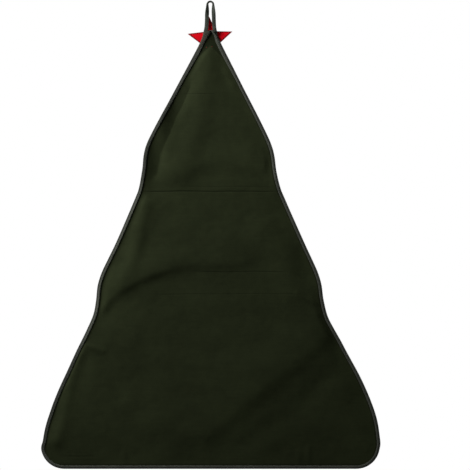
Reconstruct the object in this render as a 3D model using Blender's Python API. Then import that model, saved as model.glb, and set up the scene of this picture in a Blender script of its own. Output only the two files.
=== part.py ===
"""Fabric advent calendar: a tree-shaped wall hanging with rows of pockets.

A canvas front and a felt back are sewn together inside a bound edge. The front
carries rows of gaping pockets, a cut felt figure on each pocket, a star over the
tip and, along the foot, a casing that holds a wooden rod. The tree hangs by a
loop of the edge's own tape.

Lengths are in metres. X runs across the tree, Z is up, and the front faces -Y.
The origin is the top of the loop's opening, under its crown, where the tree hangs.
"""

import math

import bmesh
import bpy
from mathutils import Matrix, Vector

# The tree: its outer edge, binding included.
TREE_HEIGHT = 0.938
TREE_WIDTH = 0.725
FOOT_CORNER_RADIUS = 0.050
TIP_CORNER_RADIUS = 0.0085
TIP_CORNER_START_DEGREES = 18
# Places on the right flank, from the foot corner to the cut-off tip: a share of
# the tree's height, then a share of half its width.
FLANK_SHARES = (
    (0.111, 0.973), (0.180, 0.908), (0.271, 0.793), (0.317, 0.731), (0.350, 0.691),
    (0.385, 0.671), (0.419, 0.660), (0.448, 0.637), (0.476, 0.604), (0.521, 0.549),
    (0.613, 0.445), (0.642, 0.416), (0.681, 0.395), (0.712, 0.386), (0.738, 0.369),
    (0.772, 0.329), (0.840, 0.237), (0.932, 0.113), (0.966, 0.068), (1.000, 0.0375),
)
FLANK_STEPS = 2
CORNER_STEPS = 6

# Layers. Sewn pieces keep this gap between them.
SEWN_GAP = 0.0003
BACK_FELT = 0.0016
FRONT_CANVAS = 0.0010
POCKET_CANVAS = 0.0009
FIGURE_FELT = 0.0015
STAR_FELT = 0.0017

# The tape round the edge, and the loop that its tail makes.
BINDING_WIDTH = 0.0074
BINDING_TAPE = 0.0008
LOOP_RISE = 0.062
LOOP_TAPE_WIDTH = 0.0075
LOOP_TAPE_THICKNESS = 0.0020
LOOP_BASE_WIDTH = 0.0256
LOOP_NECK_RISE = 0.0135
LOOP_NECK_WIDTH = 0.0150
LOOP_CROWN_RADIUS = 0.0052
LOOP_SETBACK = 0.0010
LOOP_TURN_START_SHARE = 0.45
LOOP_TURN_END_SHARE = 0.95
LOOP_STRAND_STEPS = 9
LOOP_CROWN_STEPS = 6

# The star over the tip, sewn on a little askew.
STAR_RADIUS = 0.0505
STAR_INNER_SHARE = 0.44
STAR_DROP = 0.0205
STAR_TILT_DEGREES = -3
STAR_TIP_ROUNDING = 0.0012

# The pocket rows, named from the top one down.
ROW_POCKETS = (1, 2, 2, 3, 3, 4, 4, 5)
POCKET_WIDTH = 0.115
POCKET_HEIGHT = 0.086
ROW_PITCH = 0.0928
LOWEST_ROW_RISE = 0.057
POCKET_SEAM = 0.003
POCKET_SIDE_SLOPE = 0.019
POCKET_FOOT_SLOPE = 0.017
POCKET_FOOT_DEPTH = 0.0055
POCKET_MOUTH_DEPTH = 0.0110
SLOPE_BULGE_SHARES = ((0.42, 0.66),)

# The felt figures, one on each pocket.
FIGURE_SIDESTEP = 0.012
FIGURE_CENTRE_RISE = 0.046
FIGURE_CORNER_ROUNDING = 0.0013
DISC_POINTS = 12
WREATH_POINTS = 20
WREATH_HOLE_SHARE = 0.42

# The rod and the casing that holds it.
ROD_DIAMETER = 0.009
ROD_LENGTH = 0.655
ROD_SIDES = 16
CASING_LENGTH = 0.646
CASING_RISE = 0.010
CASING_HEIGHT = 0.033
CASING_SEAM = 0.0045
CASING_UNDERSLOPE = 0.0008
CASING_ARC_STEPS = 6
CASING_ARC_END_DEGREES = 50

# Heights and depths worked out from the sizes above.
CROWN_TOP_Z = LOOP_TAPE_THICKNESS
TIP_Z = CROWN_TOP_Z - LOOP_RISE
FOOT_Z = TIP_Z - TREE_HEIGHT
CANVAS_FACE_Y = -(SEWN_GAP / 2 + FRONT_CANVAS)
FELT_FACE_Y = SEWN_GAP / 2 + BACK_FELT
BINDING_FRONT_Y = CANVAS_FACE_Y - SEWN_GAP - BINDING_TAPE
BINDING_REAR_Y = FELT_FACE_Y + SEWN_GAP + BINDING_TAPE
POCKET_INSIDE_Y = CANVAS_FACE_Y - SEWN_GAP

FABRIC_ROUGHNESS = 0.95
WOOD_ROUGHNESS = 0.6
CANVAS_GREEN = (0.038, 0.045, 0.036)
POCKET_GREEN = (0.043, 0.051, 0.041)
FELT_GREEN = (0.014, 0.017, 0.007)
BINDING_GREY = (0.043, 0.046, 0.034)
STAR_RED = (0.50, 0.003, 0.008)
ROD_WOOD = (0.72, 0.55, 0.36)


class Figure:
    """One felt figure: its size, its colour and the outline that it is cut to."""

    def __init__(self, name, width, height, colour, outline):
        self.name = name
        self.width = width
        self.height = height
        self.colour = colour
        self.outline = outline


def mirrored(half_shares):
    """A whole outline from its right half, listed from top to bottom."""
    left = [(-x, z) for x, z in reversed(half_shares) if x > 0]
    return list(half_shares) + left


def disc_shares(points):
    """A round outline that fills its box."""
    turns = [2 * math.pi * index / points for index in range(points)]
    return [(math.cos(turn), (1 + math.sin(turn)) / 2) for turn in turns]


def bauble_shares(cap_share, ball_share):
    """A ball under a narrow cap. ball_share is the ball's part of the height."""
    half = [(cap_share, 1.0), (cap_share, ball_share * 0.97)]
    for degrees in (58, 32, 6, -20, -46, -72):
        turn = math.radians(degrees)
        half.append((math.cos(turn), ball_share * (1 + math.sin(turn)) / 2))
    return mirrored(half)


def star_shares(inner_share):
    """A five-pointed star, one arm up, on a unit circle round its middle."""
    points = []
    for index in range(10):
        turn = math.pi / 2 - index * math.pi / 5
        reach = 1 if index % 2 == 0 else inner_share
        points.append((reach * math.cos(turn), reach * math.sin(turn)))
    return points


def star_figure_shares():
    """The star outline moved into a box from its foot to its top arm."""
    points = star_shares(STAR_INNER_SHARE)
    widest = max(x for x, _ in points)
    lowest = min(z for _, z in points)
    return [(x / widest, (z - lowest) / (1 - lowest)) for x, z in points]


CANDLE_SHARES = mirrored((
    (0, 1.00), (0.26, 0.86), (0.24, 0.74), (0.12, 0.68), (0.40, 0.66), (0.40, 0.28),
    (1.00, 0.36), (0.86, 0.06), (0, 0),
))
BIRD_SHARES = (
    (-1.00, 0.60), (-0.80, 0.72), (-0.66, 0.84), (-0.42, 0.82), (-0.20, 0.64),
    (0.06, 1.00), (0.34, 0.94), (0.30, 0.62), (0.62, 0.52), (1.00, 0.58),
    (0.94, 0.30), (0.50, 0.22), (0.20, 0.04), (-0.20, 0), (-0.60, 0.18), (-0.78, 0.46),
)
BELL_SHARES = mirrored((
    (0.16, 1.00), (0.20, 0.86), (0.52, 0.74), (0.64, 0.40), (1.00, 0.20), (0.94, 0.10),
    (0.26, 0.11), (0.20, 0),
))
HOLLY_SHARES = mirrored((
    (0, 1.00), (0.22, 0.94), (0.26, 0.76), (0.46, 0.82), (0.54, 0.64), (0.80, 0.68),
    (0.78, 0.46), (1.00, 0.34), (0.76, 0.24), (0.66, 0.02), (0.46, 0.14), (0.24, 0.06),
    (0.14, 0.30), (0, 0.36),
))
EGG_ORNAMENT_SHARES = mirrored((
    (0.20, 1.00), (0.20, 0.88), (0.62, 0.78), (0.92, 0.60), (1.00, 0.40), (0.88, 0.20),
    (0.55, 0.04), (0.18, 0),
))
GNOME_SHARES = mirrored((
    (0, 1.00), (0.30, 0.74), (0.62, 0.50), (0.88, 0.44), (0.80, 0.36), (0.62, 0.34),
    (0.90, 0.18), (1.00, 0),
))
THREE_TIER_TREE_SHARES = mirrored((
    (0, 1.00), (0.44, 0.70), (0.26, 0.70), (0.72, 0.42), (0.46, 0.42), (1.00, 0.14),
    (0.16, 0.14), (0.16, 0),
))
GINGERBREAD_SHARES = mirrored((
    (0.24, 1.00), (0.42, 0.88), (0.38, 0.74), (0.22, 0.66), (0.86, 0.68), (1.00, 0.58),
    (0.92, 0.48), (0.44, 0.48), (0.42, 0.36), (0.74, 0.08), (0.58, 0), (0.34, 0.02),
    (0, 0.26),
))
ROCKING_HORSE_SHARES = (
    (-0.88, 0.70), (-0.66, 0.90), (-0.52, 1.00), (-0.42, 0.84), (-0.28, 0.62),
    (0.42, 0.60), (0.66, 0.76), (0.80, 0.58), (0.62, 0.40), (0.60, 0.17), (1.00, 0.24),
    (0.72, 0.04), (0.30, 0), (-0.30, 0), (-0.72, 0.04), (-1.00, 0.24), (-0.50, 0.17),
    (-0.50, 0.42), (-0.62, 0.60), (-0.84, 0.58),
)
MITTENS_SHARES = mirrored((
    (0, 0.88), (0.12, 1.00), (0.62, 1.00), (0.66, 0.72), (0.88, 0.76), (1.00, 0.64),
    (0.92, 0.50), (0.72, 0.48), (0.72, 0.22), (0.54, 0.02), (0.26, 0), (0.10, 0.16),
    (0, 0.42),
))
FOX_SHARES = mirrored((
    (0, 0.74), (0.30, 0.80), (0.72, 1.00), (0.84, 0.62), (1.00, 0.40), (0.52, 0.16),
    (0.12, 0),
))
MISTLETOE_SHARES = mirrored((
    (0.08, 1.00), (0.10, 0.74), (0.42, 0.80), (0.82, 0.68), (1.00, 0.44), (0.70, 0.40),
    (0.36, 0.52), (0.24, 0.48), (0.46, 0.36), (0.54, 0.14), (0.38, 0), (0.18, 0.10),
    (0.10, 0.28),
))
REINDEER_SHARES = mirrored((
    (0, 0.68), (0.13, 0.69), (0.22, 0.82), (0.26, 1.00), (0.38, 0.97), (0.36, 0.84),
    (0.62, 0.99), (0.72, 0.90), (0.52, 0.80), (0.90, 0.84), (0.92, 0.72), (0.46, 0.68),
    (0.34, 0.61), (0.68, 0.60), (0.70, 0.50), (0.34, 0.42), (0.32, 0.18), (0.16, 0),
))
GIFT_SHARES = mirrored((
    (0, 0.84), (0.20, 0.98), (0.46, 1.00), (0.50, 0.84), (0.26, 0.74), (1.00, 0.74),
    (1.00, 0.54), (0.90, 0.54), (0.90, 0),
))
PINE_SPRIG_SHARES = mirrored((
    (0, 1.00), (0.30, 0.86), (0.24, 0.76), (0.62, 0.74), (0.44, 0.60), (0.88, 0.52),
    (0.60, 0.42), (1.00, 0.26), (0.56, 0.24), (0.66, 0.02), (0.32, 0.12), (0.14, 0),
))
DROP_ORNAMENT_SHARES = mirrored((
    (0.18, 1.00), (0.18, 0.88), (0.44, 0.80), (0.90, 0.60), (1.00, 0.42), (0.80, 0.26),
    (0.36, 0.12), (0, 0),
))
SNOWMAN_SHARES = mirrored((
    (0.30, 1.00), (0.30, 0.87), (0.58, 0.87), (0.58, 0.80), (0.48, 0.79), (0.56, 0.66),
    (0.46, 0.54), (0.80, 0.44), (1.00, 0.24), (0.84, 0.05), (0.48, 0),
))
STOCKING_SHARES = (
    (-0.56, 1.00), (0.38, 1.00), (0.40, 0.78), (0.30, 0.76), (0.30, 0.42), (0.84, 0.32),
    (1.00, 0.16), (0.86, 0), (-0.14, 0), (-0.56, 0.14), (-0.50, 0.76), (-0.60, 0.78),
)
FOUR_TIER_TREE_SHARES = mirrored((
    (0, 1.00), (0.34, 0.78), (0.20, 0.78), (0.58, 0.56), (0.38, 0.56), (0.80, 0.34),
    (0.56, 0.34), (1.00, 0.12), (0.15, 0.12), (0.15, 0),
))

# The figures in reading order, from the single top pocket down.
FIGURES = (
    Figure("candle", 0.034, 0.062, (0.80, 0.72, 0.50), CANDLE_SHARES),
    Figure("bird", 0.060, 0.048, (0.72, 0.66, 0.56), BIRD_SHARES),
    Figure("bell", 0.050, 0.054, (0.66, 0.40, 0.08), BELL_SHARES),
    Figure("holly", 0.060, 0.050, (0.30, 0.06, 0.03), HOLLY_SHARES),
    Figure("egg_ornament", 0.044, 0.066, (0.78, 0.68, 0.46), EGG_ORNAMENT_SHARES),
    Figure("gnome", 0.038, 0.060, (0.50, 0.02, 0.02), GNOME_SHARES),
    Figure("silver_tree", 0.046, 0.060, (0.52, 0.56, 0.52), THREE_TIER_TREE_SHARES),
    Figure("gingerbread", 0.050, 0.066, (0.46, 0.10, 0.04), GINGERBREAD_SHARES),
    Figure("rocking_horse", 0.060, 0.054, (0.36, 0.16, 0.06), ROCKING_HORSE_SHARES),
    Figure("mittens", 0.060, 0.052, (0.56, 0.02, 0.02), MITTENS_SHARES),
    Figure("gold_star", 0.050, 0.048, (0.74, 0.46, 0.08), star_figure_shares()),
    Figure("wreath", 0.050, 0.050, (0.52, 0.20, 0.16), None),
    Figure("fox", 0.048, 0.046, (0.66, 0.22, 0.05), FOX_SHARES),
    Figure("mistletoe", 0.048, 0.060, (0.42, 0.50, 0.34), MISTLETOE_SHARES),
    Figure("reindeer", 0.054, 0.058, (0.36, 0.18, 0.08), REINDEER_SHARES),
    Figure("red_bauble", 0.042, 0.050, (0.58, 0.02, 0.02), bauble_shares(0.22, 0.84)),
    Figure("tall_gnome", 0.036, 0.062, (0.54, 0.03, 0.02), GNOME_SHARES),
    Figure("gift", 0.046, 0.046, (0.06, 0.30, 0.08), GIFT_SHARES),
    Figure("pine_sprig", 0.050, 0.056, (0.18, 0.32, 0.16), PINE_SPRIG_SHARES),
    Figure("drop_ornament", 0.040, 0.058, (0.60, 0.03, 0.02), DROP_ORNAMENT_SHARES),
    Figure("snowman", 0.042, 0.064, (0.82, 0.82, 0.80), SNOWMAN_SHARES),
    Figure("orange_slice", 0.040, 0.040, (0.78, 0.24, 0.03), disc_shares(DISC_POINTS)),
    Figure("stocking", 0.048, 0.058, (0.56, 0.02, 0.02), STOCKING_SHARES),
    Figure("green_tree", 0.048, 0.066, (0.08, 0.34, 0.14), FOUR_TIER_TREE_SHARES),
)


def clear_scene():
    """Remove whatever the scene holds."""
    for item in list(bpy.data.objects):
        bpy.data.objects.remove(item, do_unlink=True)


def paint(item, colour, roughness):
    """Give a piece a plain material of its own."""
    surface = bpy.data.materials.new(item.name)
    surface.use_nodes = True
    shader = surface.node_tree.nodes["Principled BSDF"]
    shader.inputs["Base Color"].default_value = (*colour, 1.0)
    shader.inputs["Roughness"].default_value = roughness
    shader.inputs["Metallic"].default_value = 0.0
    item.data.materials.append(surface)


def add_piece(name, shape, colour, roughness=FABRIC_ROUGHNESS, location=(0, 0, 0)):
    """Turn a bmesh into a named piece at a place."""
    bmesh.ops.recalc_face_normals(shape, faces=shape.faces)
    mesh = bpy.data.meshes.new(name)
    shape.to_mesh(mesh)
    shape.free()
    item = bpy.data.objects.new(name, mesh)
    item.location = location
    bpy.context.collection.objects.link(item)
    paint(item, colour, roughness)
    return item


def curve_through(points, steps):
    """Points on a Catmull-Rom curve through the given points, ends included."""
    first = points[0] * 2 - points[1]
    last = points[-1] * 2 - points[-2]
    padded = [first, *points, last]
    curve = []
    for index in range(1, len(padded) - 2):
        before, start, end, after = padded[index - 1:index + 3]
        for step in range(steps):
            t = step / steps
            pull = (end - before) * t + (before * 2 - start * 5 + end * 4 - after) * t ** 2
            bend = (start * 3 - before - end * 3 + after) * t ** 3
            curve.append(start + (pull + bend) / 2)
    curve.append(points[-1])
    return curve


def arc(centre, radius, start_degrees, end_degrees, steps):
    """Points on an arc in the X-Z plane, both ends included."""
    span = end_degrees - start_degrees
    turns = [math.radians(start_degrees + span * step / steps) for step in range(steps + 1)]
    return [centre + Vector((math.cos(turn), math.sin(turn))) * radius for turn in turns]


def right_edge():
    """The tree's right edge, from the foot's straight run up to the tip's."""
    half_width = TREE_WIDTH / 2
    corner = Vector((half_width - FOOT_CORNER_RADIUS, FOOT_Z + FOOT_CORNER_RADIUS))
    foot_corner = arc(corner, FOOT_CORNER_RADIUS, -90, 0, CORNER_STEPS)
    flank = [foot_corner[-1]]
    for height_share, width_share in FLANK_SHARES[:-1]:
        flank.append(Vector((width_share * half_width, FOOT_Z + height_share * TREE_HEIGHT)))
    tip_height_share, tip_width_share = FLANK_SHARES[-1]
    tip_half_width = tip_width_share * half_width
    tip_z = FOOT_Z + tip_height_share * TREE_HEIGHT
    tip_centre = Vector((tip_half_width - TIP_CORNER_RADIUS, tip_z - TIP_CORNER_RADIUS))
    tip_corner = arc(tip_centre, TIP_CORNER_RADIUS, TIP_CORNER_START_DEGREES, 90, CORNER_STEPS // 2)
    flank.append(tip_corner[0])
    return foot_corner[:-1] + curve_through(flank, FLANK_STEPS)[:-1] + tip_corner


def tree_outline():
    """The closed outer edge of the tree, anticlockwise as seen from the front."""
    right = right_edge()
    left = [Vector((-point.x, point.y)) for point in reversed(right)]
    return right + left


def inset_outline(outline, distance):
    """The outline moved inwards by a distance, with its corners mitred."""
    moved = []
    for index, point in enumerate(outline):
        before = (point - outline[index - 1]).normalized()
        after = (outline[(index + 1) % len(outline)] - point).normalized()
        inward_before = Vector((-before.y, before.x))
        inward_after = Vector((-after.y, after.x))
        mitre = (inward_before + inward_after).normalized()
        moved.append(point + mitre * (distance / mitre.dot(inward_after)))
    return moved


def cut_plate(outline, rear_y, front_y, corner_rounding=0):
    """A flat piece of cloth cut to an outline, from one depth to another."""
    shape = bmesh.new()
    corners = [shape.verts.new((point[0], rear_y, point[1])) for point in outline]
    shape.faces.new(corners)
    if corner_rounding:
        bmesh.ops.bevel(
            shape, geom=corners, offset=corner_rounding, offset_type="OFFSET", segments=2,
            profile=0.5, affect="VERTICES", clamp_overlap=True, material=-1,
        )
    grown = bmesh.ops.extrude_face_region(shape, geom=shape.faces[:])
    moved = [part for part in grown["geom"] if isinstance(part, bmesh.types.BMVert)]
    bmesh.ops.translate(shape, verts=moved, vec=(0, front_y - rear_y, 0))
    return shape


def swept_shape(sections, closed):
    """A solid whose sections are joined in turn, in a ring or with capped ends."""
    shape = bmesh.new()
    rings = [[shape.verts.new(point) for point in section] for section in sections]
    pairs = list(zip(rings, rings[1:]))
    if closed:
        pairs.append((rings[-1], rings[0]))
    else:
        shape.faces.new(rings[0])
        shape.faces.new(rings[-1])
    for ring, following in pairs:
        for index in range(len(ring)):
            other = (index + 1) % len(ring)
            shape.faces.new((ring[index], ring[other], following[other], following[index]))
    return shape


def make_panels():
    """The felt back and the canvas front, both inside the folded binding."""
    inside = inset_outline(tree_outline(), BINDING_TAPE + SEWN_GAP)
    back = cut_plate(inside, FELT_FACE_Y, SEWN_GAP / 2)
    add_piece("back_panel", back, FELT_GREEN)
    front = cut_plate(inside, -SEWN_GAP / 2, CANVAS_FACE_Y)
    add_piece("front_panel", front, CANVAS_GREEN)


def make_edge_binding():
    """The tape folded round the whole edge, a U that is open towards the middle."""
    outline = tree_outline()
    front_inside = BINDING_FRONT_Y + BINDING_TAPE
    rear_inside = BINDING_REAR_Y - BINDING_TAPE
    profile = (
        (0, BINDING_FRONT_Y), (0, BINDING_REAR_Y),
        (BINDING_WIDTH, BINDING_REAR_Y), (BINDING_WIDTH, rear_inside),
        (BINDING_TAPE, rear_inside), (BINDING_TAPE, front_inside),
        (BINDING_WIDTH, front_inside), (BINDING_WIDTH, BINDING_FRONT_Y),
    )
    lines = [(inset_outline(outline, inset), depth) for inset, depth in profile]
    sections = []
    for index in range(len(outline)):
        sections.append([(line[index].x, depth, line[index].y) for line, depth in lines])
    add_piece("edge_binding", swept_shape(sections, closed=True), BINDING_GREY)


def loop_hinge():
    """The line that the loop folds back over, behind the tip's bound edge."""
    return Vector((0, BINDING_REAR_Y + SEWN_GAP, TIP_Z + SEWN_GAP))


def loop_path():
    """The loop's middle line in the X-Z plane, with how far its tape is turned.

    It runs up the right strand, over the crown and down the left strand. The
    turn goes from 0, with the tape flat to the rear, to 90 degrees, edge on.
    """
    crown_radius = LOOP_CROWN_RADIUS + LOOP_TAPE_THICKNESS / 2
    crown = Vector((0, -LOOP_CROWN_RADIUS))
    base = Vector(((LOOP_BASE_WIDTH - LOOP_TAPE_WIDTH) / 2, TIP_Z + SEWN_GAP))
    neck = Vector((LOOP_NECK_WIDTH / 2, TIP_Z + LOOP_NECK_RISE))
    shoulder = Vector((crown_radius, crown.y))
    middle = neck.lerp(shoulder, 0.5)
    strand_steps = LOOP_STRAND_STEPS // 3
    strand = curve_through([base, neck, middle, shoulder], strand_steps)
    quarter = arc(crown, crown_radius, 0, 90, LOOP_CROWN_STEPS)
    half = strand[:-1] + quarter
    rise = CROWN_TOP_Z - TIP_Z
    path = []
    for point in half:
        share = (point.y - TIP_Z) / rise
        turned = (share - LOOP_TURN_START_SHARE) / (LOOP_TURN_END_SHARE - LOOP_TURN_START_SHARE)
        path.append((point, math.pi / 2 * min(max(turned, 0), 1)))
    mirror_image = [(Vector((-point.x, point.y)), turn) for point, turn in reversed(path[:-1])]
    return path + mirror_image


def make_hanging_loop():
    """The loop of folded tape, flat where it leaves the tip and edge on at the crown."""
    hinge = loop_hinge()
    path = loop_path()
    half_width = LOOP_TAPE_WIDTH / 2
    half_thickness = LOOP_TAPE_THICKNESS / 2
    rearward = Vector((0, 1, 0))
    sections = []
    for index, (point, turn) in enumerate(path):
        before = path[max(index - 1, 0)][0]
        after = path[min(index + 1, len(path) - 1)][0]
        run = (after - before).normalized()
        if index in (0, len(path) - 1):
            run = Vector((0, math.copysign(1, run.y)))
        outward = Vector((run.y, 0, -run.x))
        across = outward * math.cos(turn) + rearward * math.sin(turn)
        through = rearward * math.cos(turn) - outward * math.sin(turn)
        middle = Vector((point.x, LOOP_SETBACK, point.y)) - hinge
        section = []
        for side, face in ((1, 1), (1, -1), (-1, -1), (-1, 1)):
            section.append(middle + across * half_width * side + through * half_thickness * face)
        sections.append(section)
    shape = swept_shape(sections, closed=False)
    add_piece("hanging_loop", shape, BINDING_GREY, location=hinge)


def make_star():
    """The star over the tip, two layers of felt."""
    centre = Vector((0, TIP_Z - STAR_DROP))
    tilt = Matrix.Rotation(math.radians(STAR_TILT_DEGREES), 2)
    unit_star = star_shares(STAR_INNER_SHARE)
    outline = [centre + tilt @ Vector(place) * STAR_RADIUS for place in unit_star]
    rear_y = BINDING_FRONT_Y - SEWN_GAP
    for name in ("star_back", "star_front"):
        layer = cut_plate(outline, rear_y, rear_y - STAR_FELT, STAR_TIP_ROUNDING)
        add_piece(name, layer, STAR_RED)
        rear_y -= STAR_FELT + SEWN_GAP


def row_foot_z(row):
    """The height of a row's lower edge. Row 0 is the top one."""
    rows_below = len(ROW_POCKETS) - 1 - row
    return FOOT_Z + LOWEST_ROW_RISE + rows_below * ROW_PITCH


def pocket_columns():
    """Places across one pocket, from its left edge, with how full each stands."""
    left = [(0, 0), (POCKET_SEAM, 0)]
    for place_share, lift_share in SLOPE_BULGE_SHARES:
        left.append((POCKET_SEAM + place_share * POCKET_SIDE_SLOPE, lift_share))
    left.append((POCKET_SEAM + POCKET_SIDE_SLOPE, 1))
    return left + [(POCKET_WIDTH - place, lift) for place, lift in reversed(left)]


def pocket_levels():
    """Heights up one pocket, from its lower edge, with the depth at each."""
    levels = [(0, 0), (POCKET_SEAM, 0)]
    for place_share, lift_share in SLOPE_BULGE_SHARES:
        levels.append((POCKET_SEAM + place_share * POCKET_FOOT_SLOPE, lift_share * POCKET_FOOT_DEPTH))
    levels.append((POCKET_SEAM + POCKET_FOOT_SLOPE, POCKET_FOOT_DEPTH))
    levels.append((POCKET_HEIGHT, POCKET_MOUTH_DEPTH))
    return levels


def make_pocket_row(row):
    """One strip of canvas sewn down at its ends, its foot and between its pockets."""
    count = ROW_POCKETS[row]
    columns = []
    for pocket in range(count):
        left_x = (pocket - count / 2) * POCKET_WIDTH
        places = pocket_columns() if pocket == 0 else pocket_columns()[1:]
        columns += [(left_x + place, lift) for place, lift in places]
    foot_z = row_foot_z(row)
    shape = bmesh.new()
    grid = []
    for height, depth in pocket_levels():
        line = [(x, POCKET_INSIDE_Y - lift * depth, foot_z + height) for x, lift in columns]
        grid.append([shape.verts.new(place) for place in line])
    for lower, upper in zip(grid, grid[1:]):
        for index in range(len(columns) - 1):
            shape.faces.new((lower[index], lower[index + 1], upper[index + 1], upper[index]))
    strip = add_piece(f"pocket_row_{row + 1}", shape, POCKET_GREEN)
    cloth = strip.modifiers.new("cloth", "SOLIDIFY")
    cloth.thickness = POCKET_CANVAS
    cloth.offset = 1
    cloth.use_even_offset = True


def ring_plate(outer_radius, inner_radius, centre_z, front_y):
    """A flat ring of felt, from the depth 0 to another."""
    sections = []
    for step in range(WREATH_POINTS):
        turn = 2 * math.pi * step / WREATH_POINTS
        outward = Vector((math.cos(turn), 0, math.sin(turn)))
        middle = Vector((0, 0, centre_z))
        forward = Vector((0, front_y, 0))
        inner = middle + outward * inner_radius
        outer = middle + outward * outer_radius
        sections.append((inner, outer, outer + forward, inner + forward))
    return swept_shape(sections, closed=True)


def figure_shape(figure):
    """A figure's cut felt, standing on its middle, with its rear at depth 0."""
    if figure.outline is None:
        radius = figure.width / 2
        return ring_plate(radius, radius * WREATH_HOLE_SHARE, 0, -FIGURE_FELT)
    outline = []
    for x_share, z_share in figure.outline:
        outline.append((x_share * figure.width / 2, (z_share - 0.5) * figure.height))
    return cut_plate(outline, 0, -FIGURE_FELT, FIGURE_CORNER_ROUNDING)


def pocket_places():
    """Each pocket's middle and lower edge, in reading order from the front."""
    places = []
    for row, count in enumerate(ROW_POCKETS):
        for pocket in range(count):
            places.append(((pocket - (count - 1) / 2) * POCKET_WIDTH, row_foot_z(row)))
    return places


def make_figures():
    """The felt figures, each lying on the sloping front of its pocket."""
    plateau_foot = POCKET_SEAM + POCKET_FOOT_SLOPE
    slope = (POCKET_MOUTH_DEPTH - POCKET_FOOT_DEPTH) / (POCKET_HEIGHT - plateau_foot)
    tilt = math.atan(slope)
    depth = POCKET_FOOT_DEPTH + slope * (FIGURE_CENTRE_RISE - plateau_foot)
    proud = Vector((0, -math.cos(tilt), -math.sin(tilt))) * (POCKET_CANVAS + SEWN_GAP)
    for number, (place, figure) in enumerate(zip(pocket_places(), FIGURES), start=1):
        centre_x, foot_z = place
        seat = Vector((centre_x + FIGURE_SIDESTEP, POCKET_INSIDE_Y - depth, foot_z + FIGURE_CENTRE_RISE))
        name = f"figure_{number:02d}_{figure.name}"
        item = add_piece(name, figure_shape(figure), figure.colour, location=seat + proud)
        item.rotation_euler = (tilt, 0, 0)


def rod_centre():
    """The rod's middle: it lies in the casing and clears the front of the binding."""
    radius = ROD_DIAMETER / 2
    depth = BINDING_FRONT_Y - SEWN_GAP - radius
    height = FOOT_Z + CASING_RISE + CASING_SEAM + CASING_UNDERSLOPE + SEWN_GAP + radius
    return Vector((0, depth, height))


def make_rod():
    """The round wooden rod that keeps the foot of the tree straight."""
    shape = bmesh.new()
    bmesh.ops.create_circle(shape, cap_ends=True, segments=ROD_SIDES, radius=ROD_DIAMETER / 2)
    for corner in shape.verts:
        corner.co = (-ROD_LENGTH / 2, corner.co.x, corner.co.y)
    grown = bmesh.ops.extrude_face_region(shape, geom=shape.faces[:])
    moved = [part for part in grown["geom"] if isinstance(part, bmesh.types.BMVert)]
    bmesh.ops.translate(shape, verts=moved, vec=(ROD_LENGTH, 0, 0))
    add_piece("bottom_rod", shape, ROD_WOOD, WOOD_ROUGHNESS, rod_centre())


def casing_lines():
    """The casing's inner face from its lower seam to its upper one, as (depth, height).

    The cloth passes under the rod, comes up round its front and slants back to
    the panel above it. Depth counts forward from the seams.
    """
    centre = rod_centre()
    reach = ROD_DIAMETER / 2 + SEWN_GAP
    foot_z = FOOT_Z + CASING_RISE
    top_z = foot_z + CASING_HEIGHT
    middle = Vector((POCKET_INSIDE_Y - centre.y, centre.z))
    round_rod = arc(middle, reach, -90, CASING_ARC_END_DEGREES, CASING_ARC_STEPS)
    lower = [Vector((0, foot_z)), Vector((0, foot_z + CASING_SEAM))]
    upper = [Vector((0, top_z - CASING_SEAM)), Vector((0, top_z))]
    return lower + round_rod + upper


def make_casing():
    """The casing, a strip sewn down along both long edges and open at both ends."""
    shape = bmesh.new()
    rows = []
    for end in (-CASING_LENGTH / 2, CASING_LENGTH / 2):
        places = [(end, POCKET_INSIDE_Y - line.x, line.y) for line in casing_lines()]
        rows.append([shape.verts.new(place) for place in places])
    left, right = rows
    for index in range(len(left) - 1):
        shape.faces.new((left[index], right[index], right[index + 1], left[index + 1]))
    casing = add_piece("rod_casing", shape, POCKET_GREEN)
    cloth = casing.modifiers.new("cloth", "SOLIDIFY")
    cloth.thickness = POCKET_CANVAS
    cloth.offset = 1
    cloth.use_even_offset = True


clear_scene()
make_panels()
make_edge_binding()
make_hanging_loop()
make_star()
for row_number in range(len(ROW_POCKETS)):
    make_pocket_row(row_number)
make_figures()
make_casing()
make_rod()
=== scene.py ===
"""The looks of the fabric advent calendar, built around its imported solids.

Lengths are in metres. X runs across the tree and Z is up. The pockets face -Y and
the felt back faces +Y. Every piece is made in place, so its object stays at the origin.
"""

import math
from bisect import bisect_right
from itertools import pairwise

import bmesh
import bpy
from mathutils import Matrix, Vector, noise


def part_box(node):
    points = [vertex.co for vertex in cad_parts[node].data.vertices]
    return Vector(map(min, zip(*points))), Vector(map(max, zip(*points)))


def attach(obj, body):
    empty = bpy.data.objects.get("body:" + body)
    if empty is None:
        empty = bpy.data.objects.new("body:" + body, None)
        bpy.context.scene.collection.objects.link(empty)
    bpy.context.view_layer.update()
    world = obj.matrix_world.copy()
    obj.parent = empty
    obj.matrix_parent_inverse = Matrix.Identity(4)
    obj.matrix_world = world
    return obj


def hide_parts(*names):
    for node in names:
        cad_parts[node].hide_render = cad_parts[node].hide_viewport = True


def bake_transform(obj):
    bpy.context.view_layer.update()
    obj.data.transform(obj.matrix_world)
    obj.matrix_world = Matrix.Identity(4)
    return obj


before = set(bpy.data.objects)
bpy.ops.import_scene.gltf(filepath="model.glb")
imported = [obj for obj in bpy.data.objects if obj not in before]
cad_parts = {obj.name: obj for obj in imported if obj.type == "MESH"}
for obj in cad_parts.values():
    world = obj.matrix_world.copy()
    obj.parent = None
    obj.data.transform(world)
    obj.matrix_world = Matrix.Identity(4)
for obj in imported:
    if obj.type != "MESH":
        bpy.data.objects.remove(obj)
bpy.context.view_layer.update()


# The back panel: dark green needled felt, cut to the tree's outline and caught all round
# under the bound edge. It hangs free of the canvas inside it, so it still shows the folds
# that it was packed in.
TREE_LOW, TREE_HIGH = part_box("edge_binding")
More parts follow.
